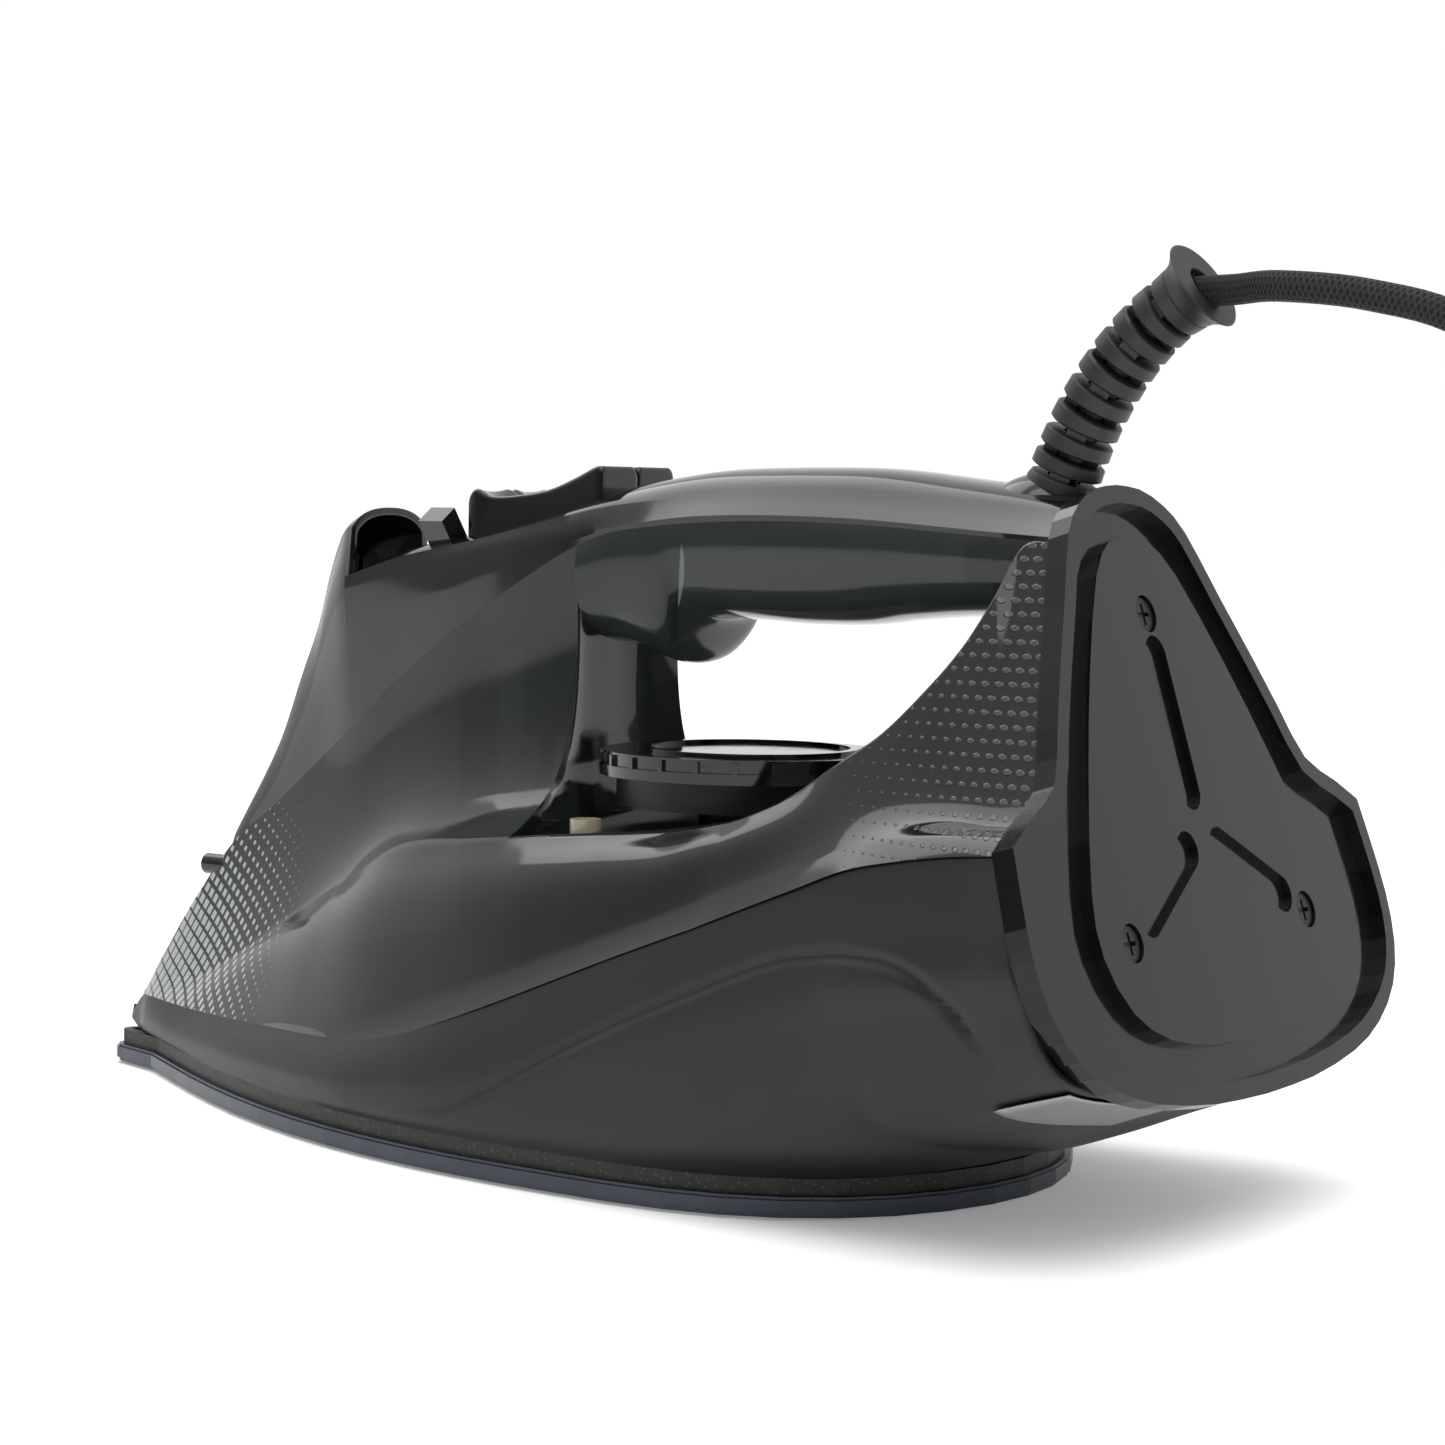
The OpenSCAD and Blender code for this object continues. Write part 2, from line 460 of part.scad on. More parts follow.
module column_shell() color(smoke) difference() {
    translate([seam, 0, 0]) shell(column_outer, column_inner, false, true);
    translate([at_x(tank_end) - 1, -shaft_w, at_z(95)]) cube([at_x(139.5) - at_x(tank_end) + 1, 2 * shaft_w, 60]);
}

// ---- Rear shell, grip and cover ---------------------------------------------------------------
rear_stations = [column_end, 154, 165, 174, 183, 195, 206, 217, 228, 238, 247, 253, 258, 262, 266, 269, 272, 276,
    281];
rear_outer = [for (x = rear_stations) whole(rear_half(x), x)];
rear_inner = [for (x = rear_stations) whole(level(thin(rear_half(x), wall, -1), stand(x)[1]), x)];
module rear_shell() color(smoke) difference() {
    translate([2 * seam, 0, 0]) shell(rear_outer, rear_inner, false, false);
    translate([dial_x, 0, deck_z - 8]) rod(plinth_bore, 12);
    translate([lamp_x, lamp_y, deck_z - 12]) rod(lamp_d + 2 * pin_fit, 20);
    translate([heel_x(at_z(103)) - 6, 0, at_z(92)]) rod(lead_d + 2, 30);
}
grip_stations = [column_end, 147, 150, 153, 156, 159, 162, 163.5, 164.5, 165.5, 168, 173, 182, 192, 202, 212,
    222, 232, 242, 252, 258, 263.6];
grip_drop = 4;
grip_outer = [for (x = grip_stations) whole(grip_half(x), x)];
grip_inner = [for (x = grip_stations) whole(thin(grip_half(max(x, 168.5)), wall, 1), x)];
module grip_shell() color(smoke) difference() {
    translate([2 * seam, 0, -seam]) shell(grip_outer, grip_inner_level, false, false);
    translate([ball_x, 0, ball_z]) sphere(d = ball_d + 4 * fit, $fn = 96);
}
// The lining keeps one level past the finger stop, which stays solid
grip_inner_level = [for (x = grip_stations)
    let (s = seam_at(x), h = thin(grip_half(x < 168 ? 168.5 : x), wall, 1))
    whole([for (i = [0 : len(h) - 1]) [i == 0 ? s[0] - wall : h[i][0], i == 0 ? s[1] : h[i][1]]], x)];

hood_stations = [36, 43, 50, 54, 58, 61, 64, 66, 68, 70, 72, 74, 76, 79];
top_stations = [79.5, 86, 92, 98, 104, 110, 116, 122, 129, 136, 143, 154, 169, 185, 205, 221, 232, 243, 254, 264,
    273, 281];
cover_outer = concat([for (x = hood_stations) whole(cover_half(cover, x), x)],
    [for (x = top_stations) whole(cover_half(platform, x), x)]);
cover_inner = concat(
    [for (x = hood_stations) let (v = mix(40, 79.2, (x - 36) / 43))
        whole(thin_up(cover_half(cover, v), wall), v - (x == 79 ? wall : 0))],
    [for (x = top_stations)
        whole(thin_up(cover_half(platform, x), wall), max(x, 79.4) - (x < 80 ? wall : 0))]);
slot_l = 7.4;
button_x = at_x(110.5);
button_gap = 0.5;
button_side = button_gap + 2 * button_w + 2 * fit;
module cover_cuts() {
    // lever slot, button opening, filler mouth and ball opening
    translate([valve_x - slot_l / 2 - fit, -14.4, at_z(108)]) cube([slot_l + 2 * fit, 28.8, 40]);
    translate([button_x - fit, -button_side / 2, at_z(104)]) cube([button_len + 2 * fit, button_side, 60]);
    door_frame() translate([-door_len - fit, -door_w / 2 - fit, -hinge_d])
        cube([door_len + hinge_d / 2 + 3 * fit, door_w + 2 * fit, 12]);
    translate([ball_x, 0, ball_z]) sphere(d = ball_d + 2 * fit, $fn = 96);
    translate([ball_x + 3, 0, ball_z]) rod(guard_d + 3, 20);
    // the hollow behind the hood
    translate([at_x(70), 0, 0]) rotate([90, 0, 90]) linear_extrude(at_x(84) - at_x(70))
        polygon([[-8.5, at_z(112.4)], [8.5, at_z(112.4)], [8.8, at_z(117)], [6, at_z(121)], [-6, at_z(121)],
            [-8.8, at_z(117)]]);
}
module handle_cover() color(gloss) difference() {
    translate([0, 0, seam]) shell(cover_outer, cover_inner, true, false);
    cover_cuts();
}

// ---- Filler, nozzle and steam lever ---------------------------------------------------------
door_tilt = 18;
door_len = 14;
door_w = 16;
door_t = 2;
hinge_d = 4;
hinge_pin_d = 1.8;
hinge_x = at_x(97);
hinge_z = at_z(curve(platform, 97, 5)) - 2.8;
function slope_z(x) = hinge_z - hinge_d / 2 - (hinge_x - x) * tan(door_tilt);
tray_t = 1.4;
seal_h = 0.8;
// Places children in the door's frame: hinge on the origin, door towards -X
module door_frame() translate([hinge_x, 0, hinge_z]) rotate([0, -door_tilt, 0]) children();
module filler_neck() color(smoke) difference() {
    union() {
        door_frame() translate([-door_len - 3, -door_w / 2 - 1, -hinge_d / 2 - seal_h - tray_t])
            cube([door_len + 5, door_w + 2, tray_t]);
        translate([filler_x, 0, seam_z(87) - 4]) rod(neck_d, slope_z(filler_x) - seam_z(87) + 3);
    }
    translate([filler_x, 0, seam_z(87) - 10]) rod(neck_bore, 60);
    door_frame() translate([-door_len - 10, -20, -hinge_d / 2 - seal_h]) cube([40, 40, 20]);
}
module filler_seal() color([0.7, 0.3, 0.2]) door_frame()
    translate([filler_x - hinge_x, 0, -hinge_d / 2 - seal_h]) tube(neck_bore + 3.6, neck_bore + 1.2, seal_h - 0.1);
module filler_door() color(gloss) door_frame() difference() {
    union() {
        translate([-door_len, -door_w / 2, -hinge_d / 2]) cube([door_len, door_w, door_t]);
        translate([0, door_w / 2 - 3.2, 0]) rotate([90, 0, 0]) rod(hinge_d, door_w - 6.4);
    }
    translate([0, door_w, 0]) rotate([90, 0, 0]) rod(hinge_pin_d + 2 * pin_fit, 2 * door_w);
    translate([-2.8, door_w / 2 - 3.2, -5]) cube([9, 10, 10]);
    translate([-2.8, -door_w / 2 - 6.8, -5]) cube([9, 10, 10]);
}
module filler_pin() color(metal) door_frame() {
    translate([0, door_w / 2, 0]) rotate([90, 0, 0]) rod(hinge_pin_d, door_w);
    for (s = [-1, 1]) translate([-1.6, s * (door_w / 2 - 1.5) - 1.1, -hinge_d / 2 - seal_h]) difference() {
        cube([3.2, 2.2, hinge_d / 2 + seal_h + 1.6]);
        translate([1.6, 5, hinge_d / 2 + seal_h]) rotate([90, 0, 0]) rod(hinge_pin_d, 10);
    }
}
nozzle_d = 4.6;
nozzle_z = at_z(46);
nozzle_x = at_x(26.6);
module spray_nozzle() color(gloss) difference() {
    translate([nozzle_x, 0, nozzle_z]) rotate([0, 90, 0]) rod(nozzle_d, 9);
    translate([nozzle_x - 1, 0, nozzle_z]) rotate([0, 90, 0]) rod(1.2, 12);
}
// Lever on a pin along X; an eccentric on its hub presses the valve rod down as it swings over
pivot_z = seam_z(104) + 6.6;
lever_r = 24.6;
lever_t = 6.8;
cam_r = 4.4;
cam_e = 1.7;
lever_pin_d = 2.6;
module steam_lever() color(gloss) translate([valve_x, 0, pivot_z]) rotate([lever_swing - 3, 0, 0]) difference() {
    union() {
        translate([-lever_t / 2 + 0.3, -2.4, 1]) cube([lever_t - 0.6, 4.8, lever_r - 1.2]);
        rotate([-lever_swing + 3, 0, 0]) translate([-lever_t / 2, cam_e, 0])
            rotate([0, 90, 0]) rod(2 * cam_r, lever_t);
    }
    translate([-lever_t, 0, 0]) rotate([0, 90, 0]) rod(lever_pin_d + 2 * pin_fit, 2 * lever_t);
}
module lever_pin() color(metal) translate([valve_x, 0, pivot_z]) {
    translate([-lever_t / 2 - 2.2, 0, 0]) rotate([0, 90, 0]) rod(lever_pin_d, lever_t + 4.4);
    for (s = [-1, 1]) translate([s * (lever_t / 2 + 1.4) - 1, -3, -2.6]) difference() {
        cube([2, 6, 9]);
        translate([-1, 3, 2.6]) rotate([0, 90, 0]) rod(lever_pin_d, 4);
    }
}
valve_rod_d = 3.6;
valve_tube_d = 8;
seat_d = 9;
seat_z = cover_top;
rod_top = pivot_z - cam_r - 0.12;
rod_head_t = 2;
tube_lo = at_z(hull_top(104)[1]) + base_t + 0.3;
tube_hi = rod_top - 5.2;
module valve_rod() color(metal) {
    translate([valve_x, 0, seat_z + 3.6]) rod(valve_rod_d, rod_top - seat_z - 3.6);
    translate([valve_x, 0, rod_top - rod_head_t]) rod(7, rod_head_t);
}
module valve_tube() color(smoke) translate([valve_x, 0, tube_lo])
    tube(valve_tube_d, valve_rod_d + 2 * pin_fit, tube_hi - tube_lo);
module valve_seat() color([0.7, 0.6, 0.35]) translate([valve_x, 0, chamber_top + 0.2]) difference() {
    rod(seat_d, tube_lo - chamber_top - 0.3);
    translate([0, 0, seat_z - chamber_top]) rod(valve_rod_d + 2 * pin_fit, 40);
    translate([0, 0, -1]) rod(1.4, 30);
}
// A helical spring standing on the origin
module spring(d, wire, h, turns) {
    n = 10 * turns;
    sweep([for (i = [0 : n]) [d / 2 * cos(360 * i * turns / n), d / 2 * sin(360 * i * turns / n),
        wire / 2 + (h - wire) * i / n]], wire / 2, 6);
}
module valve_spring() color(metal) translate([valve_x, 0, tube_hi + 0.1])
    spring(5.4, 0.7, rod_top - rod_head_t - tube_hi - 0.2, 3);

// ---- Buttons and pumps ----------------------------------------------------------------------
button_y = button_gap / 2 + button_w / 2;
function cover_z(x) = at_z(curve(platform, (x - nose) / kx, 5));
function roof_z(x) = at_z(seam_at((x - nose) / kx)[1]);
button_end = button_x + button_len;
button_rise = 8.4;
under = button_travel + 2;
// Outline of a button seen from the side: front wall, hollow top, raised tail
button_side_view = concat(
    [[0, roof_z(button_x) + under + 8], [0, cover_z(button_x) + button_rise]],
    [for (p = smooth([[1.5, button_rise + 0.4], [6, button_rise - 1.6], [13, 5.6], [21, 4.6], [28, 4.8], [32, 5.2]], 3))
        [p[0] * button_len / 34, cover_z(button_x + p[0] * button_len / 34) + p[1]]],
    [[button_len, cover_z(button_end) + 4], [button_len, roof_z(button_end) + under],
     [button_len * 0.85, roof_z(button_end) + under], [button_len * 0.55, roof_z(button_x + button_len * 0.55) + under]]);
module button(s) difference() {
    translate([button_x, s * button_y + button_w / 2, 0]) rotate([90, 0, 0])
        linear_extrude(button_w) polygon(button_side_view);
    translate([button_x - 1, 0, cover_z(button_x) + button_rise + 37.6]) rotate([0, 90 - 4, 0])
        cylinder(r = 38.6, h = 26, $fn = 96);
}
module spray_button() color(gloss) button(-1);
module steam_button() color(gloss) button(1);
pump_x = at_x(127);
pump_lo = at_z(80);
pump_hi = at_z(104);
piston_d = pump_d - 3;
stem_d = 3;
module piston(s) color([0.75, 0.75, 0.72]) translate([pump_x, s * button_y, 0]) {
    translate([0, 0, pump_hi - 9]) rod(piston_d - 2 * pin_fit, 5);
    translate([0, 0, pump_hi - 4]) rod(stem_d, button_bottom(pump_x) - pump_hi + 4);
}
function button_bottom(x) =
    let (a = [button_x, roof_z(button_x) + under + 8],
        b = [button_x + button_len * 0.55, roof_z(button_x + button_len * 0.55) + under], t = (x - a[0]) / (b[0] - a[0]))
    mix(a[1], b[1], t) - 0.02;
module spray_piston() piston(-1);
module steam_piston() piston(1);
module pumps() color([0.82, 0.82, 0.8]) {
    for (s = [-1, 1]) translate([pump_x, s * button_y, pump_lo]) difference() {
        rod(pump_d, pump_hi - pump_lo);
        translate([0, 0, 2]) rod(piston_d, pump_hi - pump_lo);
        translate([0, 0, -1]) rod(1.6, 5);
    }
    translate([pump_x - 3, -1.6, pump_lo]) cube([6, 3.2, 14]);
}
module button_springs() color(metal) for (s = [-1, 1])
    translate([pump_x, s * button_y, pump_hi + 0.1])
        spring(5.2, 0.7, button_bottom(pump_x) - pump_hi - 1.6, 3);
module pump_hoses() color([0.8, 0.8, 0.76]) {
    sweep(smooth([[pump_x, button_y, pump_lo - 0.1], [pump_x, button_y + 1, at_z(66)], [pump_x + 3, 9, at_z(46)],
        [at_x(136), 10, at_z(30)], [at_x(138), 10, cover_top + 0.1]], 3), 1.7);
    sweep(smooth([[pump_x, -button_y, pump_lo - 0.1], [pump_x - 0.5, -button_y, at_z(72)],
        [pump_x - 3, -7, at_z(62)], [at_x(tank_end) + 0.6, -7.5, at_z(58)]], 3), 1.5);
}

// ---- Dial, thermostat and wiring ------------------------------------------------------------
dial_gap = 0.4;
dial_x = at_x(column_end) + dial_d / 2 + dial_gap;
deck_z = at_z(66.2);
dial_z = at_z(74.5);
plinth_d = min(52, dial_d - 7);
plinth_neck = 20;
plinth_bore = plinth_neck + 2 * pin_fit;
plinth_z = at_z(68.6);
module dial() color(gloss) translate([dial_x, 0, dial_z]) difference() {
    union() {
        rod(dial_d - 1.6, dial_h);
        rod(dial_d, dial_h * 0.45);
        translate([0, 0, dial_h]) tube(dial_d * 0.72, dial_d * 0.66, 0.7);
        for (a = [0 : 15 : 345]) rotate([0, 0, a]) translate([dial_d / 2 - 1, -0.5, 0]) cube([0.9, 1, dial_h * 0.9]);
    }
    translate([0, 0, -1]) rod(shaft_d, 3.4);
}
shaft_lo = cover_top + 11;
module dial_shaft() color(metal) translate([dial_x, 0, shaft_lo]) rod(shaft_d, dial_z + 2.4 - shaft_lo);
module dial_plinth() color(charcoal) translate([dial_x, 0, 0]) difference() {
    union() {
        translate([0, 0, plinth_z]) rod(plinth_d, dial_z - fit - plinth_z);
        translate([0, 0, deck_z - 6]) rod(plinth_neck, plinth_z - deck_z + 6.5);
    }
    translate([0, 0, 0]) rod(shaft_d + 2 * pin_fit, body_h);
}
stat_w = 28;
module thermostat() color([0.85, 0.8, 0.7]) translate([dial_x, 0, cover_top]) difference() {
    union() {
        translate([-stat_w / 2, -11, 0]) cube([stat_w, 22, 8.5]);
        rod(12, 17);
    }
    translate([0, 0, 11]) rod(shaft_d + 2 * pin_fit, 20);
    translate([0, 0, 9]) rod(shaft_d - 2, 20);
}
module thermal_fuse() color([0.9, 0.88, 0.82]) translate([at_x(132), -16, cover_top + 3])
    rotate([0, 90, 0]) rod(6, 22);
lamp_x = dial_x - 17;
lamp_y = -at_y(30);
lamp_d = 6;
lamp_z = at_z(curve(deck, 156, 2)) - 1.4;
module pilot_lamp() color([0.85, 0.8, 0.6]) translate([lamp_x, lamp_y, lamp_z - 8]) {
    rod(lamp_d, 8 + wall);
    translate([0, 0, -5]) rod(lamp_d - 2, 5.1);
}
block_x = at_x(226);
block_z = plate_z + plate_t;
module terminal_block() color([0.88, 0.86, 0.8]) translate([block_x, 0, block_z]) difference() {
    translate([-9, -17, 0]) cube([18, 34, 13]);
    for (y = [-11, 0, 11]) translate([-4, y, 6]) rod(4.4, 20);
}
module wires() color([0.75, 0.35, 0.25]) for (s = [-1, 1]) {
    y = s * heater_end[1];
    sweep(smooth([[heater_end[0] + 2.1, y, cover_top + 3.2], [heater_end[0] + 6, y, cover_top + 3.2],
        [at_x(248) + 3, y * 0.9, cover_top + 8], [at_x(248) + 4.5, y * 0.75, block_z + 2],
        [block_x + 16, y * 0.5, block_z + 6], [block_x + 9.8, s * 11, block_z + 6]], 3), 1.4, 8);
}

// ---- Heel -----------------------------------------------------------------------------------
heel_foot = at_x(ref_end) + tan(heel_lean) * at_z(lean_z) + seam;
// Places children in the plane of the heel: local X across, local Y up the slope, Z out of the heel
module heel_plane(out = 0) translate([heel_foot, 0, 0]) rotate([0, -heel_lean, 0]) rotate([90, 0, 90])
    translate([0, 0, out]) children();
function up(z) = at_z(z) / cos(heel_lean);
function heel_x(z) = heel_foot - tan(heel_lean) * z;
heel_line = smooth([[0, 23.4], [18.5, 24], [37.2, 26.4], [50, 30.2], [59.6, 36], [64.8, 43.5], [66.4, 52.7],
    [65.4, 63], [64.2, 70.6]], 2);
heel_upper = smooth([[57, 74.4], [46.8, 79.4], [41, 89], [35.4, 98.6], [28.6, 109.5], [21.4, 121.4], [15.5, 126.4],
    [8, 129.3], [0, 130]], 2);
heel_half = concat(heel_line, heel_upper);
function ring2(h) = concat([for (p = h) [at_y(p[0]), up(p[1])]],
    [for (i = [len(h) - 2 : -1 : 1]) [-at_y(h[i][0]), up(h[i][1])]]);
heel_outline = ring2(heel_half);
heel_floor = 1.6;
rim = 3.4;
insert_line = smooth([[0, 33], [14, 33.6], [28, 36], [38, 41.5], [43.4, 51], [42.3, 61.5], [34.4, 79.5], [25, 97.5],
    [14.5, 114], [7, 120], [0, 121]], 2);
insert_outline = ring2(insert_line);
insert_t = 2.2;
screw_spots = [[0, 107.2], [at_y(32.8), 52.5], [-at_y(32.8), 52.5]];
screw_hole = 9;
screw_d = 6.4;
module heel_frame() color(gloss) difference() {
    heel_plane() linear_extrude(heel_depth) polygon(heel_outline);
    heel_plane(heel_floor) linear_extrude(heel_depth) polygon(inset(heel_outline, rim));
    for (p = screw_spots) heel_plane(-1) translate([p[0], up(p[1]), 0]) rod(screw_d - 3, 8);
}
module y_slot(a, b, w) hull() for (p = [a, b]) translate([p[0], up(p[1]), 0]) cylinder(d = w, h = 4, $fn = 32);
module heel_plate() color([0.09, 0.09, 0.1]) difference() {
    heel_plane(heel_floor) linear_extrude(insert_t) polygon(insert_outline);
    for (p = screw_spots) heel_plane(heel_floor - 1) translate([p[0], up(p[1]), 0]) rod(screw_d + 2 * fit, 8);
    heel_plane(heel_floor + 0.8) y_slot([0, 76], [0, 100], 7);
    for (s = [-1, 1]) heel_plane(heel_floor + 0.8) y_slot([s * 6, 66], [s * 25, 56], 7);
}
module heel_screws() color(metal) for (p = screw_spots) heel_plane(heel_floor + 0.1)
    translate([p[0], up(p[1]), 0]) difference() {
        rod(screw_d, 1.5);
        for (a = [0, 90]) rotate([0, 0, a]) translate([-2, -0.4, 0.8]) cube([4, 0.8, 2]);
    }

// ---- Ball, guard and cord ---------------------------------------------------------------------
ball_z = at_z(120.8);
ball_x = heel_x(ball_z) - ball_d / 2 - 1.6;
seat_wall = 1.7;
lead_d = 4;
module ball_seat() color(charcoal) difference() {
    translate([ball_x, 0, ball_z - 7.6]) rod(ball_d + 2 * seat_wall, 7);
    translate([ball_x, 0, ball_z]) sphere(d = ball_d + 2 * fit, $fn = 96);
    translate([ball_x - 4, -5, ball_z - 20]) cube([40, 10, 16.5]);
}
module cord_ball() color(gloss) difference() {
    translate([ball_x, 0, ball_z]) sphere(d = ball_d, $fn = 96);
    sweep([guard_path[0] - [1.2, 0, 3.2], guard_path[0] + [5, 0, 11]], guard_d / 2 + pin_fit, 24);
}
// The guard leans back from the ball and ends in a bell mouth round the cord
guard_path = smooth([[ball_x + 2.6, 0, ball_z + 6.4], [ball_x + 5.4, 0, ball_z + 14], [ball_x + 9.6, 0, ball_z + 23],
    [ball_x + 15.6, 0, ball_z + 32], [ball_x + 23, 0, ball_z + 39.6], [ball_x + 32, 0, ball_z + 45.8]], 2);
guard_r = [for (i = [0 : 10]) i < 8 ? mix(guard_d / 2, guard_d / 2 - 0.9, i / 8)
    : [guard_d / 2 - 0.8, guard_d / 2 + 0.4, bell_d / 2][i - 8]];
guard_in = [for (i = [0 : 10]) i < 9 ? cord_d / 2 + pin_fit : [cord_d / 2 + 1.4, bell_d / 2 - 1.5][i - 9]];
module cord_guard() color([0.12, 0.12, 0.13]) difference() {
    tapered(guard_path, guard_r, 16);
    tapered([for (i = [0 : 10]) i == 0 ? guard_path[0] - [1, 0, 2.6]
        : i == 10 ? guard_path[10] + [1, 0, 0.6] : guard_path[i]],
        guard_in, 16);
}
module tapered(path, r, n) {
    solid_stack([for (i = [0 : len(path) - 1]) ring_at(path[i], along(path, i), r[i], n)]);
}
module inner_lead() color([0.2, 0.2, 0.2]) sweep(smooth([[ball_x + 9.8, 0, ball_z - 10.4],
    [heel_x(at_z(103)) - 6, 0, at_z(103)], [heel_x(at_z(90)) - 8.4, 0, at_z(90)], [heel_x(at_z(72)) - 10, 0, at_z(72)],
    [block_x + 22, 0, block_z + 12], [block_x + 9.1, 0, block_z + 6]], 3), lead_d / 2, 8);
clamp_z = at_z(90);
module cord_clamp() color([0.85, 0.84, 0.8]) difference() {
    translate([heel_x(clamp_z) - 14.6, -7, clamp_z - 3]) cube([13, 14, 6]);
    sweep([[heel_x(clamp_z - 10) - 8.4, 0, clamp_z - 10], [heel_x(clamp_z + 10) - 8, 0, clamp_z + 10]],
        lead_d / 2 + 0.5, 16);
}
coil_at = [heel_foot + 139, 30];
coil_or = 47;
coil_ir = 21;
coil_h = 2.1 * cord_d;
lane = coil_at[1] - coil_or + cord_d / 2;
lie = cord_d / 2 + 0.1;
function cord_path() =
    let (g = guard_path[10], x0 = g[0], z0 = g[2])
    smooth([guard_path[8], guard_path[10], [x0 + 15, 0, z0 + 1.6], [x0 + 32, 0, z0 + 1], [x0 + 50, -1, z0 - 5],
        [x0 + 66, -3, z0 - 20], [x0 + 76, -5, z0 - 44], [x0 + 82, -8, z0 - 76], [x0 + 87, -10, z0 - 108],
        [x0 + 93, -12, 34], [x0 + 103, lane + 0.6, 14], [x0 + 118, lane, 5.4], [x0 + 136, lane, lie],
        [coil_at[0] - 6, lane, lie]], 3);
module cord() color([0.1, 0.1, 0.1]) sweep(cord_path(), cord_d / 2, 8);
module cord_coil() color([0.1, 0.1, 0.1]) translate([coil_at[0], coil_at[1], 0])
    rotate_extrude($fn = 96) polygon([[coil_ir, 1], [coil_ir + 1, 0], [coil_or - 1, 0], [coil_or, 1],
        [coil_or, coil_h - 1], [coil_or - 1, coil_h], [coil_ir + 1, coil_h], [coil_ir, coil_h - 1]]);
tie_w = 9;
module coil_tie() color([0.16, 0.16, 0.17]) translate([coil_at[0], coil_at[1], 0]) rotate([0, 0, 120])
difference() {
    translate([coil_ir - 2.6, -tie_w / 2, 0]) cube([coil_or - coil_ir + 4.6, tie_w, coil_h + 2]);
    translate([coil_ir - 0.9, -tie_w, -1]) cube([coil_or - coil_ir + 1, 2 * tie_w, coil_h + 1.1]);
}
plug_x = coil_at[0] + 22;
plug_z = 6.8;
plug_w = 24;
plug_t = 13.2;
module plug_body() color(gloss) translate([plug_x, lane, plug_z]) rotate([0, 90, 0]) {
    rod(9, 14);
    translate([0, 0, 14]) linear_extrude(24) chamfered(plug_t, plug_w, 4);
}
module chamfered(a, b, c) polygon([[-a / 2, -b / 2 + c], [-a / 2 + c, -b / 2], [a / 2 - c, -b / 2],
    [a / 2, -b / 2 + c], [a / 2, b / 2 - c], [a / 2 - c, b / 2], [-a / 2 + c, b / 2], [-a / 2, b / 2 - c]]);
pin_spread = 19;
module plug_pins() color([0.8, 0.78, 0.7]) for (s = [-1, 1])
    translate([plug_x + 38, lane + s * pin_spread / 2, plug_z]) rotate([0, 90, 0]) rod(4, 19);

soleplate();
skirt();
steam_casting();
heating_element();
chamber_seal();
chamber_cover();
lower_housing();
chassis_plate();
rating_label();
water_tank();
tank_base();
tank_baffles();
column_shell();
rear_shell();
grip_shell();
handle_cover();
filler_neck();
filler_seal();
filler_door();
filler_pin();
spray_nozzle();
steam_lever();
lever_pin();
valve_rod();
valve_tube();
valve_seat();
valve_spring();
spray_button();
steam_button();
button_springs();
spray_piston();
steam_piston();
pumps();
pump_hoses();
dial();
dial_shaft();
dial_plinth();
thermostat();
thermal_fuse();
pilot_lamp();
terminal_block();
wires();
heel_frame();
heel_plate();
heel_screws();
ball_seat();
cord_ball();
cord_guard();
inner_lead();
cord_clamp();
cord();
cord_coil();
coil_tie();
plug_body();
plug_pins();
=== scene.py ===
import bpy
import json
import math
import numpy as np
from mathutils import Matrix, Vector


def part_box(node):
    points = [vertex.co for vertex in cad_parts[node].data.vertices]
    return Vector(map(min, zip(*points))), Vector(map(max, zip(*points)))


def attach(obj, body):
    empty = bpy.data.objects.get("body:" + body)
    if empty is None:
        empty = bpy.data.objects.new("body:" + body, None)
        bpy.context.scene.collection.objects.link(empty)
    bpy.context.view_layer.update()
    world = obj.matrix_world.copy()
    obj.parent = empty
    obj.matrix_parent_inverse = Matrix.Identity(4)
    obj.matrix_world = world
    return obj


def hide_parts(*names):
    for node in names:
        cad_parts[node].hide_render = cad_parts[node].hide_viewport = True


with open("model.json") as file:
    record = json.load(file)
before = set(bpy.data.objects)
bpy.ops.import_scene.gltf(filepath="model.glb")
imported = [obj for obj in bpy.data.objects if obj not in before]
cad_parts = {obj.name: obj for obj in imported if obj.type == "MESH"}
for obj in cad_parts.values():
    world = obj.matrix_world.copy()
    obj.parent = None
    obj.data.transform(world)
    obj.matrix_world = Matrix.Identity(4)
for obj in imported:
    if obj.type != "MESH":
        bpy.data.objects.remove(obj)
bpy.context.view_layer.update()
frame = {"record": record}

# ---------------------------------------------------------------- camera and light
# Solved from the photograph's outlines, in the part's frame.
CAM = np.array([0.4084, -0.5320, 0.1268])
AZ, EL, ROLL = math.radians(35.88), math.radians(3.72), math.radians(-0.86)
FOCAL_PIXELS = 3362.0
PHOTO_PIXELS = 1445.0
SENSOR = 36.0
right = np.array([math.cos(AZ), math.sin(AZ), 0.0])
upward = np.array([-math.sin(AZ) * math.sin(EL), math.cos(AZ) * math.sin(EL), math.cos(EL)])
ahead = np.array([-math.sin(AZ) * math.cos(EL), math.cos(AZ) * math.cos(EL), -math.sin(EL)])
cam_x = right * math.cos(ROLL) - upward * math.sin(ROLL)
cam_y = right * math.sin(ROLL) + upward * math.cos(ROLL)
cam_data = bpy.data.cameras.new("camera")
cam_data.sensor_width = SENSOR
cam_data.lens = FOCAL_PIXELS / PHOTO_PIXELS * SENSOR
cam_data.clip_start = 0.01
camera = bpy.data.objects.new("camera", cam_data)
bpy.context.scene.collection.objects.link(camera)
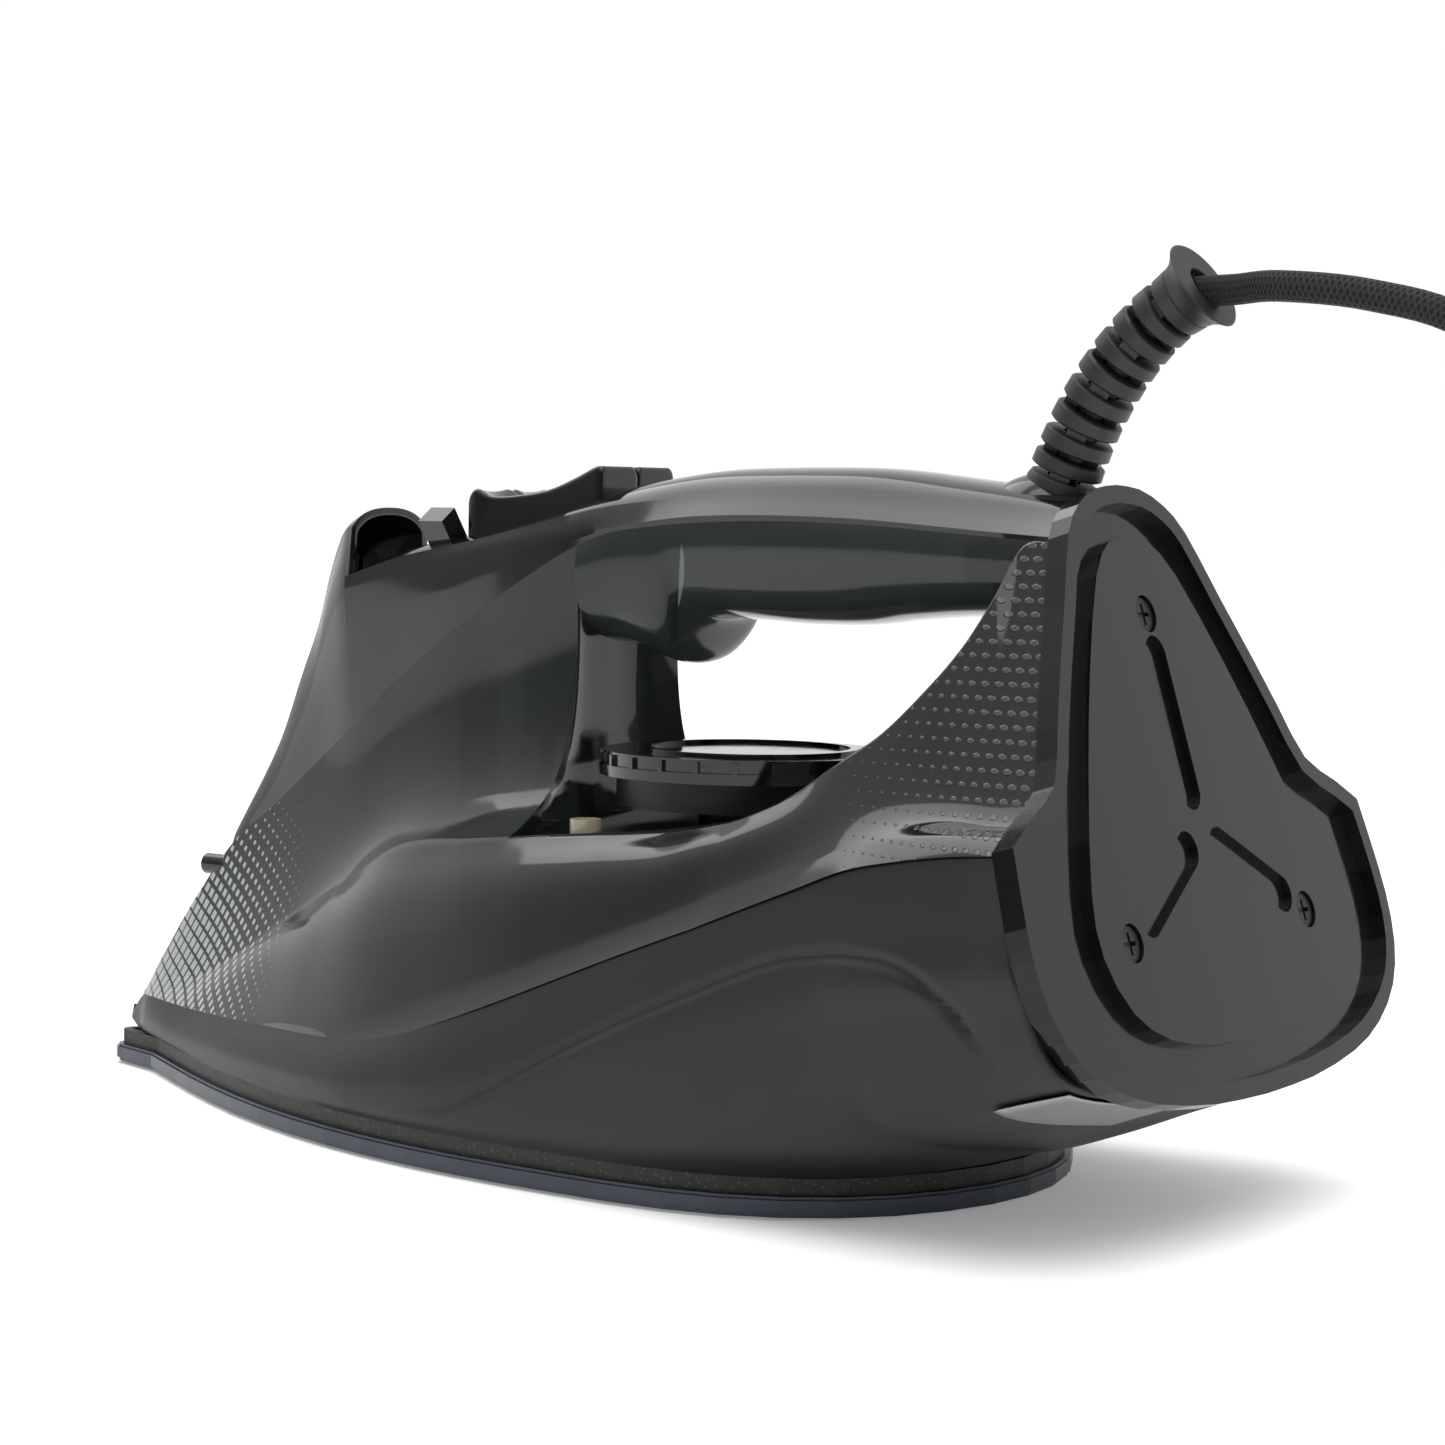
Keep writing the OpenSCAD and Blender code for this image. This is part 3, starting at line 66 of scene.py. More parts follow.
camera.matrix_world = Matrix([[cam_x[i], cam_y[i], -ahead[i], CAM[i]] for i in range(3)] + [[0, 0, 0, 1]])
bpy.context.scene.camera = camera
bpy.context.scene.view_settings.view_transform = "Standard"

MM = 0.001

# ---------------------------------------------------------------- sizes read from the frame
# The tables below are drawn for an iron of these sizes in mm; KX, KY and KZ stretch them to the frame's.
DRAWN_HOUSING = 277.4
DRAWN_WIDTH = 132.8
DRAWN_SEAM = 123.8
DRAWN_FLOOR = 7.0
REAR_END = 281.0
HOUSING_START = 4.0
TANK_START = 9.0
TANK_END = 142.6

sole_lo, sole_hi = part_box("soleplate")
hull_lo, hull_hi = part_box("lower_housing")
heel_lo, heel_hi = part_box("heel_frame")
NOSE = sole_lo.x / MM
SOLE_LEN = (sole_hi.x - sole_lo.x) / MM
SOLE_W = (sole_hi.y - sole_lo.y) / MM
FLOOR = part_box("skirt")[1].z / MM
KX = (hull_hi.x - hull_lo.x) / MM / DRAWN_HOUSING
KY = (heel_hi.y - heel_lo.y) / MM / DRAWN_WIDTH
GRIP_SHORT = 0.12  # how far the grip shell's box ends under the seam
KZ = (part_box("grip_shell")[1].z / MM + GRIP_SHORT - FLOOR) / (DRAWN_SEAM - DRAWN_FLOOR)
KZ = 1.0 if abs(KZ - 1) < 0.02 else KZ

# The rear end leans forward: fully at REAR_END, not at all before LEAN_START.
LEAN = math.tan(math.radians(17.2))
LEAN_START = 200
LEAN_Z = 25


def at_x(x): return NOSE + x * KX
def at_y(y): return y * KY
def at_z(z): return FLOOR + (z - 7) * KZ


def place(x, y, z):
    k = max(0.0, (x - LEAN_START) / (REAR_END - LEAN_START))
    return (at_x(x) - LEAN * (at_z(z) - at_z(LEAN_Z)) * k, at_y(y), at_z(z))


# ---------------------------------------------------------------- curves, as in the CAD
def slope(t, i, c):
    """The slope of column c at row i of a table whose first column is the running value."""
    a, b = max(i - 1, 0), min(i + 1, len(t) - 1)
    return (t[b][c] - t[a][c]) / (t[b][0] - t[a][0])


def curve(t, s, c):
    """Column c of the table t at s, on a smooth curve through the rows."""
    i = 0
    while i < len(t) - 2 and s > t[i + 1][0]:
        i += 1
    a, b = t[i], t[i + 1]
    h = b[0] - a[0]
    u = (s - a[0]) / h
    return ((2 * u**3 - 3 * u**2 + 1) * a[c] + (u**3 - 2 * u**2 + u) * slope(t, i, c) * h
            + (3 * u**2 - 2 * u**3) * b[c] + (u**3 - u**2) * slope(t, i + 1, c) * h)


def smooth(p, n):
    """A curve through the points p, with n steps between two of them."""
    t = [[i] + list(q) for i, q in enumerate(p)]
    return [[curve(t, k / n, c) for c in range(1, len(t[0]))] for k in range((len(p) - 1) * n + 1)]


def bezier(a, b, c, d, n):
    out = []
    for k in range(n + 1):
        t = k / n
        m = 1 - t
        out.append([a[j] * m**3 + 3 * b[j] * m * m * t + 3 * c[j] * m * t * t + d[j] * t**3
                    for j in (0, 1)])
    return out


def mix(a, b, t): return a + (b - a) * t
def mix2(a, b, t): return [mix(a[0], b[0], t), mix(a[1], b[1], t)]


WIDEST = 0.71  # where along the soleplate it is widest
TIP_R = 4.5
TIP_FADE = 30


def sole_half(x):
    """Half the soleplate's width at x mm from its nose."""
    if x <= 0 or x >= SOLE_LEN:
        return 0.0
    tip = math.sqrt(max(x * (2 * TIP_R - x), 0)) if x < TIP_R else TIP_R * max(0, 1 - (x - TIP_R) / TIP_FADE)
    if x < WIDEST * SOLE_LEN:
        f = SOLE_W / 2 * max(1 - (1 - x / (WIDEST * SOLE_LEN))**2.34, 0)**1.28
        return (f**3 + tip**3)**(1 / 3)
    return SOLE_W / 2 * max(1 - ((x / SOLE_LEN - WIDEST) / (1 - WIDEST))**2.82, 0)**0.51


# Sections of the shells in mm. The first column is x from the nose; the rest are y, z pairs of the near half.
# HULL: top edge, fullest point, and the height of the bottom edge.
HULL = [
    [4, 0.8, 10.9, 1, 10, 9.2], [9, 2.6, 15.2, 3.4, 11, 7.4], [14, 5.5, 15.9, 7, 11, 7],
    [34, 14, 16.2, 17, 10.5, 7], [64, 27, 17.8, 31.5, 11.5, 7], [106, 43, 20.5, 48, 13, 7],
    [128, 48.7, 25, 52.6, 15, 7], [148, 51.5, 31.8, 55, 18, 7], [183, 54.5, 45.3, 57.5, 26, 7],
    [206, 56.2, 53.7, 59, 32, 7], [228, 57.8, 61, 60.5, 38, 7.5], [241, 58.7, 65, 61.8, 41, 9.4],
    [255, 59.8, 67.4, 63.2, 43.5, 14], [268, 61, 69, 64.6, 45.5, 19], [281, 62.5, 70, 66, 47, 23.6]]
# SIDE: lower, middle and upper point of the side above the housing.
SIDE = [
    [9, 2.4, 15.6, 2.2, 16, 1.8, 16.6], [14, 5.1, 16.6, 4.4, 18.2, 3.6, 20],
    [24, 9.3, 16.8, 7.8, 18.6, 6.2, 21.2], [34, 13.5, 17, 11.5, 19.5, 8.5, 23],
    [64, 26.6, 18.6, 21, 30, 14.5, 38.2], [85, 35.4, 19.9, 29, 37.5, 20.5, 48.8],
    [106, 42.4, 22, 37, 44, 28, 57], [128, 46, 29.3, 42, 49.5, 34, 60.5],
    [148, 48.5, 36.5, 45, 54, 37.5, 63.2], [165, 49.8, 43, 46.8, 57.5, 39.5, 65],
    [183, 51, 49.7, 48.5, 60.8, 41.5, 67], [195, 51.8, 54.3, 49.5, 63.8, 44, 69],
    [206, 52.7, 58.6, 50, 66.6, 45.5, 71.5], [217, 53.5, 62, 49.6, 70, 44.8, 75.5],
    [228, 54.3, 65, 48.6, 73.5, 43, 81.5], [238, 55, 67.6, 47.6, 75.8, 40, 87],
    [247, 56, 69.5, 47, 77, 37, 93.5], [258, 57.2, 71, 46.7, 78, 33, 102.3],
    [266, 58.2, 71.8, 46.5, 78.5, 28, 111.2], [272, 59, 72.2, 46.5, 78.5, 21.5, 120],
    [281, 60, 72.5, 46.5, 78.5, 20, 121]]
# SEAM: the top edge of the tank and grip. FOOT: the hollow between side and column.
SEAM = [
    [9, 1, 17.8], [14, 1.4, 24.5], [24, 1.5, 38], [36, 2.1, 51.3], [50, 4.2, 60.5], [64, 7, 70],
    [80, 10.8, 80.5], [92, 12.6, 89.5], [106, 14.5, 98.5], [117, 15.5, 105], [128, 16.5, 111],
    [143, 17, 118.5], [154, 17, 121.5], [182, 17.5, 123.6], [221, 17.8, 123.2], [243, 18.2, 122.3],
    [264, 19, 121.5], [281, 20, 120.8]]
FOOT = [
    [9, 1.3, 17.2], [14, 2.6, 22], [24, 3.6, 29], [34, 4.5, 34], [64, 8.5, 54], [85, 11.5, 62],
    [106, 13.5, 68], [128, 14, 71.5], [143, 14, 73]]
# HOOD and TOP: two points of the cover's flank, and the height of its middle line.
HOOD = [
    [36, 1.7, 52.4, 1.3, 53.3, 54.2], [50, 4.1, 66, 3.1, 72, 75.5], [58, 5.8, 77, 4.4, 88, 92],
    [64, 7.4, 88, 5.4, 100, 104], [68, 8.8, 96, 6.6, 110, 113.5], [72, 10.5, 101, 8.6, 116, 119.6],
    [76, 12.2, 105, 10.6, 120, 123.4], [79, 13, 107.5, 11.8, 120.8, 125]]
TOP = [
    [79.5, 13.2, 107.8, 13, 111, 112.4], [92, 14, 111, 13.6, 114.6, 117], [104, 14.8, 114, 14, 117, 119.6],
    [116, 15.5, 117, 14.5, 119.2, 121.6], [129, 16.3, 119, 15, 122, 124.4], [143, 17, 120.6, 15, 125, 128.8],
    [154, 17.3, 122.4, 14.5, 126.6, 131.3], [169, 17.6, 124.2, 13.5, 128, 133.4],
    [185, 17.8, 124.8, 13.5, 128.8, 134], [205, 17.8, 124.6, 13.5, 128.6, 134],
    [221, 18, 124.2, 13.5, 128.2, 133.4], [243, 18.5, 123.3, 13.5, 127.4, 132],
    [264, 19, 122.4, 13.5, 126.5, 130.6], [281, 19.6, 121.8, 13.5, 125.6, 129]]
# BELLY: the grip's underside, height only. DECK: drop from the lip and height of the rear shell's top.
BELLY = [
    [143, 99.3], [150, 98.6], [155, 96.9], [159, 95.6], [162, 95.9], [164, 98.4], [165.5, 103],
    [168, 104.8], [178, 104.4], [190, 104], [205, 104.4], [220, 105.6], [240, 106.6], [266, 107]]
DECK = [
    [143, 0.8, 65.4], [165, 1, 66], [183, 1.2, 66.6], [200, 2, 68], [206, 2.4, 69], [217, 3, 71.4],
    [228, 3.4, 76.4], [238, 3.6, 81], [247, 3.8, 86.5], [257, 4, 94.5], [262, 4, 101.2], [265, 4, 105.4],
    [269, 4, 106], [281, 4, 106.2]]
LIP_W = 2.6


def keel(x): return max(sole_half(x * KX) - 1.6, 2) / KY


def hull_half(x, n=22):
    yt, zt, yf, zf, zb = (curve(HULL, x, c) for c in (1, 2, 3, 4, 5))
    yb = min(keel(x), yf - 0.2)
    p = smooth([[yt, zt], [mix(yt, yf, 0.62), mix(zt, zf, 0.5)], [yf, zf],
                [mix(yb, yf, 0.85), mix(zb, zf, 0.35)], [yb, zb]], n)
    return p + [[0.0, zb + 0.2]]


def side_run(x, n):
    v = [curve(SIDE, x, c) for c in range(1, 7)]
    return smooth([v[0:2], v[2:4], v[4:6]], n)


def seam_at(x): return [curve(SEAM, x, 1), curve(SEAM, x, 2)]
def hull_top(x): return [curve(HULL, x, 1), curve(HULL, x, 2)]


def tank_half(x, n=10, m=26):
    c = [curve(SIDE, x, 5), curve(SIDE, x, 6)]
    f = [curve(FOOT, x, 1), curve(FOOT, x, 2)]
    s = seam_at(x)
    a = mix2(c, f, 0.8)
    b = mix2(s, f, 0.8)
    turn = bezier(c, a, b, s, m)
    return [hull_top(x)] + side_run(x, n) + turn[1:] + [[0.0, s[1] + (0.8 if x < 34 else 0.3)]]


def rear_half(x, n=10):
    c = [curve(SIDE, x, 5), curve(SIDE, x, 6)]
    d, z = curve(DECK, x, 1), curve(DECK, x, 2)
    inner = [c[0] - LIP_W, c[1] - d]
    run = bezier(inner, [mix(inner[0], 0, 0.3), mix(inner[1], z, 0.75)],
                 [mix(inner[0], 0, 0.5), z], [0.0, z], 12)
    return [hull_top(x)] + side_run(x, n) + [[c[0] - LIP_W * 0.45, c[1] + 0.15], inner] + run[1:]


def grip_half(x, n=16):
    s = seam_at(x)
    z = curve(BELLY, x, 1)
    w = s[0] + 0.9
    return [s] + bezier([w, s[1] - 3], [w + 0.6, mix(s[1], z, 0.65)], [w * 0.8, z], [0.0, z], n)


def cover_half(t, x, n=5):
    s = seam_at(x)
    v = [curve(t, x, c) for c in (1, 2, 3, 4, 5)]
    top = bezier([v[2], v[3]], [v[2] * 0.8, mix(v[3], v[4], 0.75)], [v[2] * 0.45, v[4]], [0.0, v[4]], 2 * n)
    return [s, [mix(s[0], v[0], 0.5), mix(s[1], v[1], 0.5)], [v[0], v[1]],
            [mix(v[0], v[2], 0.5), mix(v[1], v[3], 0.5)]] + top


# ---------------------------------------------------------------- mesh helpers
def new_mesh(name, verts, faces, mat, slot, body="body", angle=32.0):
    """A smooth-shaded mesh from points in mm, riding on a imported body."""
    me = bpy.data.meshes.new(name)
    me.from_pydata([tuple(c * MM for c in v) for v in verts], [], faces)
    me.validate()
    me.polygons.foreach_set("use_smooth", [True] * len(me.polygons))
    me.set_sharp_from_angle(angle=math.radians(angle))
    ob = bpy.data.objects.new(name, me)
    bpy.context.scene.collection.objects.link(ob)
    me.materials.append(mat)
    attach(ob, body)
    return ob


def thin(h, w):
    """The half section h moved inwards by w mm, or outwards when w is negative."""
    out = []
    for i in range(len(h)):
        a, b = h[max(i - 1, 0)], h[min(i + 1, len(h) - 1)]
        d = math.hypot(b[0] - a[0], b[1] - a[1]) or 1
        t = ((b[0] - a[0]) / d, (b[1] - a[1]) / d)
        out.append([max(h[i][0] + t[1] * w, 0.0), h[i][1] - t[0] * w])
    return out


def whole(h, x):
    """The half section h at x, mirrored into a full one."""
    left = [place(x, p[0], p[1]) for p in h]
    return left + [(p[0], -p[1], p[2]) for p in left[-2::-1]]


def opened(verts, faces, lo, hi):
    """The faces whose middle isn't inside the box from lo to hi."""
    keep = []
    for q in faces:
        c = [sum(verts[i][a] for i in q) / len(q) for a in (0, 1, 2)]
        if not all(lo[a] < c[a] < hi[a] for a in (0, 1, 2)):
            keep.append(q)
    return keep


def skin(sections):
    """Points and four-sided faces through a row of sections."""
    n = len(sections[0])
    verts = [v for s in sections for v in s]
    faces = [(i * n + k, i * n + k + 1, (i + 1) * n + k + 1, (i + 1) * n + k)
             for i in range(len(sections) - 1) for k in range(n - 1)]
    return verts, faces


def bevel(ob, w=0.5, seg=3, angle=35):
    m = ob.modifiers.new("bevel", "BEVEL")
    m.width = w * MM
    m.segments = seg
    m.limit_method = "ANGLE"
    m.angle_limit = math.radians(angle)
    m.harden_normals = False


def solidify(ob, t, offset=-1.0):
    m = ob.modifiers.new("wall", "SOLIDIFY")
    m.thickness = t * MM
    m.offset = offset
    m.use_even_offset = False


def steps(a, b, n): return [mix(a, b, i / (n - 1)) for i in range(n)]


# ---------------------------------------------------------------- materials
def nodes_of(mat):
    mat.use_nodes = True
    nt = mat.node_tree
    return nt, nt.nodes["Principled BSDF"]


def principled(name, color, rough, spec=0.5, coat=0.0, metal=0.0):
    mat = bpy.data.materials.new(name)
    nt, p = nodes_of(mat)
    p.inputs["Base Color"].default_value = (*color, 1)
    p.inputs["Roughness"].default_value = rough
    p.inputs["Specular IOR Level"].default_value = spec
    p.inputs["Coat Weight"].default_value = coat
    p.inputs["Metallic"].default_value = metal
    return mat, nt, p


def node(nt, kind, **kw):
    n = nt.nodes.new(kind)
    for k, v in kw.items():
        setattr(n, k, v)
    return n


def math_node(nt, op, a, b=None):
    n = node(nt, "ShaderNodeMath", operation=op)
    for i, v in enumerate((a, b)):
        if v is None:
            continue
        if isinstance(v, (int, float)):
            n.inputs[i].default_value = v
        else:
            nt.links.new(v, n.inputs[i])
    return n.outputs[0]


def coords(nt):
    """Object coordinates in metres: the vector, x and z."""
    tc = node(nt, "ShaderNodeTexCoord")
    sep = node(nt, "ShaderNodeSeparateXYZ")
    nt.links.new(tc.outputs["Object"], sep.inputs[0])
    return tc.outputs["Object"], sep.outputs[0], sep.outputs[2]


def noise(nt, vec, scale, detail=3.0, rough=0.6):
    n = node(nt, "ShaderNodeTexNoise")
    n.inputs["Scale"].default_value = scale
    n.inputs["Detail"].default_value = detail
    n.inputs["Roughness"].default_value = rough
    nt.links.new(vec, n.inputs["Vector"])
    return n.outputs["Fac"]


def bump(nt, p, height, strength, distance):
    b = node(nt, "ShaderNodeBump")
    b.inputs["Strength"].default_value = strength
    b.inputs["Distance"].default_value = distance
    nt.links.new(height, b.inputs["Height"])
    nt.links.new(b.outputs[0], p.inputs["Normal"])


def map_range(nt, v, a, b, c=0.0, d=1.0):
    """v from a..b to c..d, with soft ends."""
    n = node(nt, "ShaderNodeMapRange", interpolation_type="SMOOTHSTEP")
    nt.links.new(v, n.inputs[0])
    for i, x in zip((1, 2, 3, 4), (a, b, c, d)):
        n.inputs[i].default_value = x
    return n.outputs[0]


def mix_color(nt, fac, a, b):
    n = node(nt, "ShaderNodeMix", data_type="RGBA")
    nt.links.new(fac, n.inputs[0])
    for i, v in ((6, a), (7, b)):
        n.inputs[i].default_value = (*v, 1)
    return n.outputs[2]


def plastic(name, color, rough, grain=900, depth=0.00002, strength=0.25, spec=0.5, wear=0.03):
    """A moulded surface: fine grain, and a roughness that drifts a little."""
    mat, nt, p = principled(name, color, rough, spec=spec)
    vec = coords(nt)[0]
    bump(nt, p, noise(nt, vec, grain, 4), strength, depth)
    nt.links.new(map_range(nt, noise(nt, vec, 35, 4), 0.3, 0.7, max(rough - wear, 0.02), rough + wear),
                 p.inputs["Roughness"])
    return mat


def gloss_black(name="gloss_black", rough=0.09, spec=0.5):
    """A polished black surface with faint waviness and smudges."""
    mat, nt, p = principled(name, (0.006, 0.006, 0.007), rough, spec=spec)
    vec = coords(nt)[0]
    nt.links.new(map_range(nt, noise(nt, vec, 60, 5), 0.35, 0.75, rough - 0.02, rough + 0.07),
                 p.inputs["Roughness"])
    bump(nt, p, noise(nt, vec, 260, 2), 0.06, 0.00004)
    return mat



def smoke(name, tint, clear, rough=0.06, lattice=False):
    """Clear smoky plastic: glossy, and more see-through where it faces the eye."""
    mat, nt, p = principled(name, tint, rough, spec=0.42)
    vec, x, z = coords(nt)
    bump(nt, p, noise(nt, vec, 90, 2), 0.05, 0.0001)
    nt.links.new(map_range(nt, noise(nt, vec, 45, 5), 0.3, 0.8, rough, rough + 0.08), p.inputs["Roughness"])
    clearness = node(nt, "ShaderNodeLayerWeight")
    clearness.inputs["Blend"].default_value = 0.35
    through = node(nt, "ShaderNodeBsdfTransparent")
    through.inputs["Color"].default_value = (0.36, 0.40, 0.37, 1)
    fac = math_node(nt, "MULTIPLY", math_node(nt, "SUBTRACT", 1.0, clearness.outputs["Facing"]), clear)
    if lattice:  # slanted rows of light cells, largest low at the nose
        a = math_node(nt, "MULTIPLY", math_node(nt, "ADD", math_node(nt, "MULTIPLY", x, 0.55), z), 300.0)
        b = math_node(nt, "MULTIPLY", math_node(nt, "SUBTRACT", z, math_node(nt, "MULTIPLY", x, 1.75)), 235.0)
        cell = [math_node(nt, "ABSOLUTE", math_node(nt, "SUBTRACT", math_node(nt, "FRACT", v), 0.5))
                for v in (a, b)]
        size = math_node(nt, "MAXIMUM", cell[0], cell[1])
        near = map_range(nt, x, (NOSE + 16) * MM, (NOSE + 84) * MM, 1.0, 0.0)
        low = map_range(nt, z, 0.082, 0.030, 0.0, 1.0)
        reach = math_node(nt, "MULTIPLY", near, low)
        edge = math_node(nt, "ADD", math_node(nt, "MULTIPLY", reach, 0.40), 0.03)
        dot = map_range(nt, math_node(nt, "SUBTRACT", edge, size), 0.0, 0.03)
        dot = math_node(nt, "MULTIPLY", dot, map_range(nt, reach, 0.02, 0.3))
        nt.links.new(mix_color(nt, dot, tint, (0.34, 0.36, 0.35)), p.inputs["Base Color"])
        solid = math_node(nt, "MULTIPLY", dot, 0.85)
        fac = math_node(nt, "MULTIPLY", fac, math_node(nt, "SUBTRACT", 1.0, solid))
    mixer = node(nt, "ShaderNodeMixShader")
    nt.links.new(fac, mixer.inputs[0])
    nt.links.new(p.outputs[0], mixer.inputs[1])
    nt.links.new(through.outputs[0], mixer.inputs[2])
    nt.links.new(mixer.outputs[0], nt.nodes["Material Output"].inputs["Surface"])
    return mat


def dotted(name, base, rough):
    """Gloss black with rows of small raised ovals that thin out towards the front."""
    rows = 420.0  # a metre
    mat, nt, p = principled(name, base, rough, spec=0.42)
    _, x, z = coords(nt)
    u = math_node(nt, "MULTIPLY", math_node(nt, "ADD", x, math_node(nt, "MULTIPLY", z, 0.32)), 400.0)
    row = math_node(nt, "FLOOR", math_node(nt, "MULTIPLY", z, rows))
    u = math_node(nt, "ADD", u, math_node(nt, "MULTIPLY", math_node(nt, "MODULO", row, 2.0), 0.5))
    du = math_node(nt, "SUBTRACT", math_node(nt, "FRACT", u), 0.5)
    dv = math_node(nt, "SUBTRACT", math_node(nt, "FRACT", math_node(nt, "MULTIPLY", z, rows)), 0.5)
    near = map_range(nt, math_node(nt, "ADD", x, math_node(nt, "MULTIPLY", z, 0.45)), 0.112, 0.165)
    size = math_node(nt, "ADD", math_node(nt, "MULTIPLY", near, 0.30), 0.06)
    d = math_node(nt, "SQRT", math_node(nt, "ADD", math_node(nt, "MULTIPLY", du, du),
                                       math_node(nt, "MULTIPLY", math_node(nt, "MULTIPLY", dv, dv), 1.9)))
    dot = map_range(nt, math_node(nt, "SUBTRACT", size, d), -0.02, 0.10)
    dot = math_node(nt, "MULTIPLY", dot, map_range(nt, near, 0.0, 0.12))
    bump(nt, p, dot, 0.6, 0.0002)
    nt.links.new(mix_color(nt, dot, base, (0.05, 0.051, 0.045)), p.inputs["Base Color"])
    return mat


def coated_metal(name, color, rough):
    """Metal with a fine grain drawn out along x."""
    mat, nt, p = principled(name, color, rough, metal=0.75)
    vec = coords(nt)[0]
    stretch = node(nt, "ShaderNodeMapping")
    stretch.inputs["Scale"].default_value = (0.05, 1, 1)
    nt.links.new(vec, stretch.inputs["Vector"])
    bump(nt, p, noise(nt, stretch.outputs[0], 2200, 3), 0.12, 0.00002)
    nt.links.new(map_range(nt, noise(nt, vec, 40, 4), 0.3, 0.7, rough - 0.04, rough + 0.06),
                 p.inputs["Roughness"])
    return mat


def speckled(name, base, fleck):
    mat, nt, p = principled(name, base, 0.6)
    vec = coords(nt)[0]
    cells = node(nt, "ShaderNodeTexVoronoi")
    cells.inputs["Scale"].default_value = 900
    nt.links.new(vec, cells.inputs["Vector"])
    nt.links.new(mix_color(nt, map_range(nt, cells.outputs["Distance"], 0.12, 0.3, 1.0, 0.0), base, fleck),
                 p.inputs["Base Color"])
    bump(nt, p, cells.outputs["Distance"], 0.35, 0.0001)
    return mat


def braided(name):
    """Two sets of threads wound opposite ways round the cord; U runs along it and V round it."""
    along_u, round_v = 5600.0, 44.0
    mat, nt, p = principled(name, (0.012, 0.012, 0.013), 0.75, spec=0.3)
    tc = node(nt, "ShaderNodeTexCoord")
    sep = node(nt, "ShaderNodeSeparateXYZ")
    nt.links.new(tc.outputs["UV"], sep.inputs[0])
    threads = []
    for way in ("ADD", "SUBTRACT"):
        threads.append(math_node(nt, "SINE", math_node(
            nt, way, math_node(nt, "MULTIPLY", sep.outputs[0], along_u),
            math_node(nt, "MULTIPLY", sep.outputs[1], round_v))))
    weave = math_node(nt, "MAXIMUM", *threads)
    vec = tc.outputs["Object"]
    h = math_node(nt, "ADD", weave, math_node(nt, "MULTIPLY", noise(nt, vec, 2600, 2), 0.8))
    bump(nt, p, h, 0.7, 0.0003)
    nt.links.new(mix_color(nt, map_range(nt, weave, -0.2, 1.0), (0.006, 0.006, 0.007), (0.03, 0.03, 0.031)),
                 p.inputs["Base Color"])
    return mat


M_GLOSS = gloss_black()
M_HEEL = gloss_black("heel_black", 0.1, 0.3)
M_CHAR = plastic("charcoal", (0.012, 0.0125, 0.013), 0.44, grain=1800, depth=0.00003, strength=0.3, spec=0.3)
M_RUBBER = plastic("rubber", (0.010, 0.010, 0.011), 0.5, grain=1400, depth=0.00003, strength=0.3)
M_WHITE = plastic("white_moulding", (0.62, 0.61, 0.57), 0.45)
M_SEAL = plastic("seal", (0.38, 0.07, 0.05), 0.5)
M_HOSE = plastic("hose", (0.5, 0.5, 0.46), 0.4)
M_WIRE = plastic("wire", (0.22, 0.05, 0.035), 0.5)
M_BOARD = plastic("board", (0.2, 0.16, 0.1), 0.7)
M_TANK = smoke("smoke_tank", (0.012, 0.016, 0.014), 0.17, lattice=True)
M_GRIP = smoke("smoke_grip", (0.022, 0.028, 0.025), 0.22, rough=0.12)
M_SMOKE = smoke("smoke_inner", (0.05, 0.06, 0.055), 0.5)
M_REAR = dotted("smoke_rear", (0.006, 0.007, 0.006), 0.08)
M_SOLE = coated_metal("sole_coat", (0.050, 0.058, 0.072), 0.34)
M_SKIRT = speckled("skirt_speckle", (0.012, 0.013, 0.009), (0.06, 0.062, 0.045))
M_CAST = coated_metal("cast_metal", (0.45, 0.46, 0.47), 0.5)
M_STEEL = coated_metal("steel", (0.42, 0.42, 0.43), 0.3)
M_BRASS = coated_metal("brass", (0.6, 0.43, 0.18), 0.3)
M_FOIL = coated_metal("label_foil", (0.30, 0.31, 0.32), 0.35)
M_BRAID = braided("braid")
M_LAMP, _, lamp_p = principled("lamp_lens", (0.30, 0.27, 0.17), 0.2, coat=0.4)
lamp_p.inputs["Emission Color"].default_value = (1.0, 0.93, 0.7, 1)
lamp_p.inputs["Emission Strength"].default_value = 0.05

# ---------------------------------------------------------------- cord
JOINTS = {j["name"]: j for j in frame["record"]["behaviour"]["joints"]}
ball = [v / MM for v in JOINTS["cord_turn"]["pos_m"]]
coil_lo, coil_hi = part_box("cord_coil")
coil = [(coil_lo.x + coil_hi.x) / 2 / MM, (coil_lo.y + coil_hi.y) / 2 / MM]
coil_r = (coil_hi.x - coil_lo.x) / 2 / MM
plug_lo, plug_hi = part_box("plug_body")
CORD_D = 5.5
TURNS = 7
TURN_STEPS = 40
LAYER_TURNS = 3.5  # inwards on the floor, then up, then outwards on top
CLIMB = (3.4, 3.9)
INNER_R = 23.9
LAYER_GAP = 0.12
# The guard's middle line, from the ball to its mouth.
GUARD = [(ball[0] + a, 0.0, ball[2] + b) for a, b in
         ((2.6, 6.4), (5.4, 14), (9.6, 23), (15.6, 32), (23.0, 39.6), (32.0, 45.8))]


